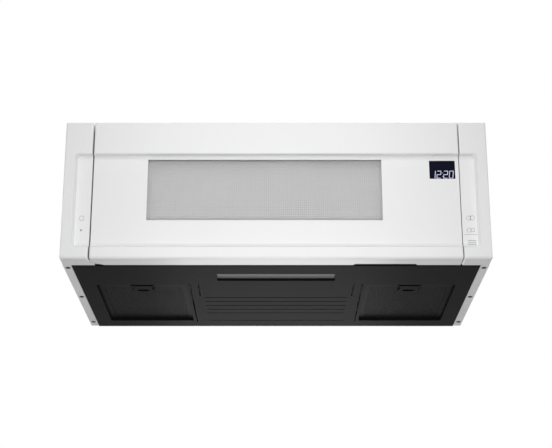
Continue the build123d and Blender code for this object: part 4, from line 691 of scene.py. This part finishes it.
# ---- Inner door cover ----------------------------------------------------------------------------
# A grey moulding snaps over the choke and closes the back of the door. Its face is spark-eroded in
# pits 0.9 mm across, so it is even and dull.
spark_size = 0.00091
abs_grey, tree, shader, place = start_finish("textured_grey_abs", Roughness=0.55)
spark = add_node(
    tree, "ShaderNodeTexNoise", {"Vector": place, "Scale": 1 / spark_size, "Detail": 3.0}
)
two_tone(tree, shader, spark.outputs["Fac"], "#8D8F91", "#98999B")
raise_surface(tree, shader, spark.outputs["Fac"], 0.00004, 0.5)
coat(abs_grey, "choke_cover")


# ---- Window --------------------------------------------------------------------------------------
# Toughened glass is bonded behind the opening, and 17 mm behind it a perforated steel sheet keeps
# the microwaves in. It is stoved light grey on both sides, so the cavity shows through as a haze.

# Float glass: almost clear, with roller waves 71 mm long that bend its reflections.
roller_wave = 0.0714
window_pane, tree, shader, place = start_finish(
    "toughened_window_glass", Roughness=0.0, IOR=1.5, **{"Transmission Weight": 1.0}
)
shader.inputs["Base Color"].default_value = linear("#F4F4F4")
wave = add_node(tree, "ShaderNodeTexNoise", {"Vector": place, "Scale": 1 / roller_wave})
raise_surface(tree, shader, wave.outputs["Fac"], 0.00005, 0.2)
coat(window_pane, "window_glass")

# Stoved paint: even and light, drifting by a shade over 33 mm.
mist_size = 0.0333
screen_paint, tree, shader, place = start_finish("light_grey_stoved_paint", Roughness=0.45)
mist = add_node(tree, "ShaderNodeTexNoise", {"Vector": place, "Scale": 1 / mist_size})
two_tone(tree, shader, mist.outputs["Fac"], "#BCBCBD", "#C4C4C5")

# The real holes, about 1.3 mm wide and 2 mm apart, are too fine to show, so they are drawn 1.6 mm
# wide and 3.4 mm apart.
hole_pitch = 0.0034
hole_radius = 0.0008
screen_low, screen_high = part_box("window_screen")
screen_size = screen_high - screen_low
screen_centre = (screen_low + screen_high) / 2
tree, group, values = start_tree(
    "perforated_sheet",
    {
        "Sheet Width": screen_size.x,
        "Sheet Height": screen_size.z,
        "Sheet Depth": screen_size.y,
        "Columns": round(screen_size.x / hole_pitch),
        "Rows": round(screen_size.z / hole_pitch),
        "Hole Radius": hole_radius,
    },
)
cell_width, cell_height = (
    add_node(
        tree, "ShaderNodeMath", {0: group[way], 1: group[count]}, operation="DIVIDE"
    ).outputs[0]
    for way, count in (("Sheet Width", "Columns"), ("Sheet Height", "Rows"))
)
span_width, span_height = (
    add_node(tree, "ShaderNodeMath", {0: group[way], 1: cell}, operation="SUBTRACT").outputs[0]
    for way, cell in (("Sheet Width", cell_width), ("Sheet Height", cell_height))
)
edges = (
    add_node(
        tree,
        "GeometryNodeCurvePrimitiveQuadrilateral",
        {"Width": cell_width, "Height": cell_height},
    ),
    add_node(
        tree, "GeometryNodeCurvePrimitiveCircle", {"Resolution": 8, "Radius": group["Hole Radius"]}
    ),
)
lattice = add_node(
    tree,
    "GeometryNodeMeshGrid",
    {
        "Size X": span_width,
        "Size Y": span_height,
        "Vertices X": group["Columns"],
        "Vertices Y": group["Rows"],
    },
)
sheet = pierced_sheet(tree, edges, lattice.outputs["Mesh"], group["Sheet Depth"])
set_on_points(tree, group, sheet, screen_paint, (math.pi / 2, 0.0, 0.0))
screen_back = (screen_centre.x, screen_high.y, screen_centre.z)
perforated_screen = grow("perforated_screen", [screen_back], tree, values)
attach(perforated_screen, "door")
coat(screen_paint, "window_screen")
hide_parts("window_screen")


# ---- Display -------------------------------------------------------------------------------------
# A smoked acrylic pane over a clock module. The digits are lit from behind and look pale violet
# white on blue black.
smoke_size = 0.04
smoked, tree, shader, place = start_finish(
    "smoked_acrylic", Roughness=0.2, **{"Specular IOR Level": 0.03}
)
smoke = add_node(tree, "ShaderNodeTexNoise", {"Vector": place, "Scale": 1 / smoke_size})
two_tone(tree, shader, smoke.outputs["Fac"], "#0A0B1C", "#101228")
coat(smoked, "display_lens")

# Diffusing resin over white diodes: an even glow that varies a little over 2.5 mm.
glow_size = 0.0025
lit_digits, tree, shader, place = start_finish(
    "lit_display_segments", Roughness=0.5, **{"Emission Strength": 0.25}
)
shader.inputs["Emission Color"].default_value = linear("#D9D8F2")
glow = add_node(tree, "ShaderNodeTexNoise", {"Vector": place, "Scale": 1 / glow_size})
two_tone(tree, shader, glow.outputs["Fac"], "#C9C8E4", "#DCDBF0")


def strip(mesh, start, end, half, y_front, y_back):
    """One rounded bar between two points of the face, as a closed thin prism."""
    run = Vector((end[0] - start[0], end[1] - start[1]))
    angle = math.atan2(run.y, run.x)
    outline = []
    for centre, first in ((end, angle - math.pi / 2), (start, angle + math.pi / 2)):
        for step in range(7):
            turn = first + math.pi * step / 6
            outline.append((centre[0] + half * math.cos(turn), centre[1] + half * math.sin(turn)))
    front = [mesh.verts.new((x, y_front, z)) for x, z in outline]
    back = [mesh.verts.new((x, y_back, z)) for x, z in outline]
    mesh.faces.new(front)
    mesh.faces.new(reversed(back))
    for corner in range(len(outline)):
        follow = (corner + 1) % len(outline)
        mesh.faces.new((front[follow], front[corner], back[corner], back[follow]))


def raised_piece(name, finish, strokes, y_front, y_back, body, rise=None):
    """A thin printed or lit mark made of rounded bars; each bar is (start, end, half width)."""
    mesh = bmesh.new()
    for start, end, half in strokes:
        strip(mesh, start, end, half, y_front, y_back)
    if rise:
        for corner in mesh.verts:
            corner.co.y -= rise(corner.co.z)
    bmesh.ops.recalc_face_normals(mesh, faces=mesh.faces)
    data = bpy.data.meshes.new(name)
    mesh.to_mesh(data)
    mesh.free()
    data.materials.append(finish)
    piece = bpy.data.objects.new(name, data)
    bpy.context.scene.collection.objects.link(piece)
    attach(piece, body)


# A segment joins two corners of a grid one step wide and two high.
segments = {
    "top": ((0, 2), (1, 2)), "upper right": ((1, 2), (1, 1)), "lower right": ((1, 1), (1, 0)),
    "foot": ((0, 0), (1, 0)), "lower left": ((0, 1), (0, 0)), "upper left": ((0, 2), (0, 1)),
    "middle": ((0, 1), (1, 1)),
}
shapes = {
    "1": ("upper right", "lower right"),
    "2": ("top", "upper right", "middle", "lower left", "foot"),
    "0": ("top", "upper right", "lower right", "foot", "lower left", "upper left"),
}
digit_height = 0.0148
digit_width = 0.0066
digit_pitch = 0.0100
stroke = 0.0011
slant = 0.10
lift = 0.0001

# The hours and the colon stand 2 mm further left than the pitch alone would put them.
hour_shift = 0.0022
colon_shift = 0.0021
colon_rows = (0.55, 1.4)
dot_length = 0.0001
lens_low, lens_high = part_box("display_lens")
digit_base = lens_low.z + 0.0008 + stroke / 2
digit_right = lens_high.x - 0.0012


def on_display(left, column, row):
    """A point of a digit's grid on the pane, leant over by the slant."""
    x = left + column * digit_width + row / 2 * digit_height * slant
    return x, digit_base + row / 2 * (digit_height - stroke)


clock = []
for position, figure in enumerate(("1", "2", "2", "0")):
    left = digit_right - (4 - position) * digit_pitch - (hour_shift if position < 2 else 0.0)
    for segment in shapes[figure]:
        start, end = (on_display(left, column, row) for column, row in segments[segment])
        clock.append((start, end, stroke / 2))
for row in colon_rows:
    dot = on_display(digit_right - 2 * digit_pitch - colon_shift, 0, row)
    clock.append((dot, (dot[0] + dot_length, dot[1]), stroke / 2))
raised_piece(
    "display_digits", lit_digits, clock, lens_low.y - lift, lens_low.y, "door"
)


# ---- Touch key symbols ---------------------------------------------------------------------------
# Light grey ink is pad printed on the flat of each column over its touch board: a lamp and a fan
# mark on the left, three cooking marks and a rule on the right, the lowest of them on the sweep.

# Pad printing ink: dull, and mottled at half a millimetre where the pad let go.
mottle_size = 0.000556
grey_ink, tree, shader, place = start_finish("pad_printed_grey_ink", Roughness=0.4)
mottle = add_node(tree, "ShaderNodeTexNoise", {"Vector": place, "Scale": 1 / mottle_size})
two_tone(tree, shader, mottle.outputs["Fac"], "#97979A", "#A3A3A6")
panel_y = lens_low.y
ink_y = panel_y - 0.00005
line = 0.0006

# The sweep is an arc that leaves the foot of the flat.
flat_foot = 0.0345
sweep_radius = 0.01378


def sweep_rise(z):
    """How far the sweep at the foot of the dish stands out from the flat at this height."""
    drop = max(0.0, flat_foot - z)
    return sweep_radius - math.sqrt(sweep_radius**2 - drop**2)


def loop(x, z, radius_x, radius_z, corners, phase):
    """The bars of a closed outline round a point."""
    points = [
        (
            x + radius_x * math.cos(phase + math.tau * corner / corners),
            z + radius_z * math.sin(phase + math.tau * corner / corners),
        )
        for corner in range(corners)
    ]
    return [(points[corner], points[(corner + 1) % corners], line / 2) for corner in range(corners)]


# The lamp mark is a ring, and the fan mark three short blades.
lamp_ring = 0.0044
blade_half = 0.0011
blade_reach = (0.0011, 0.0009)
fan_x, fan_z = -0.3456, 0.0560
left_marks = loop(-0.3456, 0.0786, lamp_ring, lamp_ring, 16, 0.0)
for turn in (0.0, math.tau / 3, math.tau * 2 / 3):
    tip = (fan_x + blade_reach[0] * math.cos(turn), fan_z + blade_reach[1] * math.sin(turn))
    left_marks.append(((fan_x, fan_z), tip, blade_half))
raised_piece("left_key_symbols", grey_ink, left_marks, ink_y, panel_y, "cabinet")

# Down the right column: two rings with a bar between them, a ring and a square, the rule and a
# list of three lines. Each outline is its centre, half width, half height, corners and turn.
outlines = (
    (0.3420, 0.0792, 0.0034, 0.0040, 14, 0.0),
    (0.3492, 0.0792, 0.0036, 0.0044, 14, 0.0),
    (0.3423, 0.0562, 0.0034, 0.0040, 12, 0.0),
    (0.3487, 0.0562, 0.0040, 0.0042, 4, math.pi / 4),
)
list_left, list_right = 0.3395, 0.3535
right_marks = [bar for outline in outlines for bar in loop(*outline)]
right_marks.append(((0.3456, 0.0832), (0.3456, 0.0752), line))
right_marks.append(((0.3338, 0.0480), (0.3586, 0.0480), line / 2))
for row_z in (0.0364, 0.0326, 0.0288):
    right_marks.append(((list_left, row_z), (list_right, row_z), line))
raised_piece(
    "right_key_symbols", grey_ink, right_marks, ink_y, panel_y, "cabinet", sweep_rise
)


# ---- Studio --------------------------------------------------------------------------------------
# The oven hangs at its working height over a pale floor, seen from below its front. Four boxes
# light the white face, two lie low for the black underside, and four reach the top, back and sides.

# The corners of the photographed oven give the camera: 2.7 m from the wall, 0.74 m below the base.
camera = bpy.data.objects.new("camera", bpy.data.cameras.new("camera"))
bpy.context.scene.collection.objects.link(camera)
camera.location = (0.0, -2.69356, -0.73981)
camera.rotation_euler = (math.radians(109.683), 0.0, 0.0)
camera.data.lens = 88.10
camera.data.sensor_width = 36.0
camera.data.clip_start = 0.05
bpy.context.scene.camera = camera

# The floor is painted above and clear from below, so the oven can be seen from under it.
floor_z = -1.37
floor_half = 6.0
floor_mesh = bpy.data.meshes.new("floor")
floor_mesh.from_pydata(
    [
        (-floor_half, -floor_half, floor_z), (floor_half, -floor_half, floor_z),
        (floor_half, floor_half, floor_z), (-floor_half, floor_half, floor_z),
    ],
    [],
    [(0, 1, 2, 3)],
)
floor = bpy.data.objects.new("floor", floor_mesh)
bpy.context.scene.collection.objects.link(floor)
floor_paint, tree, shader, place = start_finish("pale_floor", Roughness=0.8)
shader.inputs["Base Color"].default_value = linear("#D4D4D4")
from_below = add_node(tree, "ShaderNodeNewGeometry").outputs["Backfacing"]
clear = add_node(tree, "ShaderNodeBsdfTransparent")
shown = add_node(
    tree,
    "ShaderNodeMixShader",
    {0: from_below, 1: shader.outputs["BSDF"], 2: clear.outputs["BSDF"]},
)
tree.links.new(shown.outputs["Shader"], tree.nodes["Material Output"].inputs["Surface"])
floor_mesh.materials.append(floor_paint)

# The camera, reflections and glass see a white backdrop, and the oven is lit by a dimmer room.
room_light = 0.24
white = (1.0, 1.0, 1.0, 1.0)
world = bpy.data.worlds.new("studio")
bpy.context.scene.world = world
world.use_nodes = True
tree = world.node_tree
tree.nodes.clear()
path = add_node(tree, "ShaderNodeLightPath").outputs
seen = path["Is Camera Ray"]
for ray in ("Is Glossy Ray", "Is Transmission Ray"):
    seen = add_node(
        tree, "ShaderNodeMath", {0: seen, 1: path[ray]}, operation="MAXIMUM"
    ).outputs[0]
room = add_node(tree, "ShaderNodeBackground", {"Color": white, "Strength": room_light})
backdrop = add_node(tree, "ShaderNodeBackground", {"Color": white, "Strength": 1.0})
sky = add_node(
    tree,
    "ShaderNodeMixShader",
    {0: seen, 1: room.outputs["Background"], 2: backdrop.outputs["Background"]},
)
add_node(tree, "ShaderNodeOutputWorld", {"Surface": sky.outputs["Shader"]})

# Each lamp: where it stands, what it faces, its width in metres and its power in watts.
for name, spot, aim, size, power in (
    ("front_softbox", (0.0, -1.30, 0.75), (0.0, -0.44, 0.10), 0.7, 1.9),
    ("far_softbox", (0.0, -2.80, 1.40), (0.0, -0.44, 0.10), 1.6, 8.0),
    ("level_softbox", (0.0, -1.15, -0.05), (0.0, -0.44, 0.10), 0.6, 2.0),
    ("low_front_softbox", (0.0, -1.50, -0.55), (0.0, -0.44, 0.05), 0.7, 3.0),
    ("under_softbox", (0.0, -0.25, -0.36), (0.0, -0.25, 0.0), 0.25, 0.6),
    ("low_rear_softbox", (0.0, 0.90, -0.38), (0.0, -0.25, 0.0), 0.6, 1.0),
    ("top_softbox", (0.0, -0.10, 1.60), (0.0, -0.10, 0.26), 1.2, 9.0),
    ("rear_softbox", (0.0, 1.60, 0.50), (0.0, 0.0, 0.13), 1.0, 5.0),
    ("left_softbox", (-1.70, 0.10, 0.30), (-0.38, -0.15, 0.13), 0.8, 7.0),
    ("right_softbox", (1.70, 0.10, 0.30), (0.38, -0.15, 0.13), 0.8, 7.0),
):
    lamp = bpy.data.objects.new(name, bpy.data.lights.new(name, "AREA"))
    bpy.context.scene.collection.objects.link(lamp)
    lamp.data.size = size
    lamp.data.energy = power
    lamp.visible_camera = False
    lamp.location = spot
    lamp.rotation_euler = (Vector(aim) - Vector(spot)).to_track_quat("-Z", "Y").to_euler()

bpy.context.scene.view_settings.view_transform = "Standard"
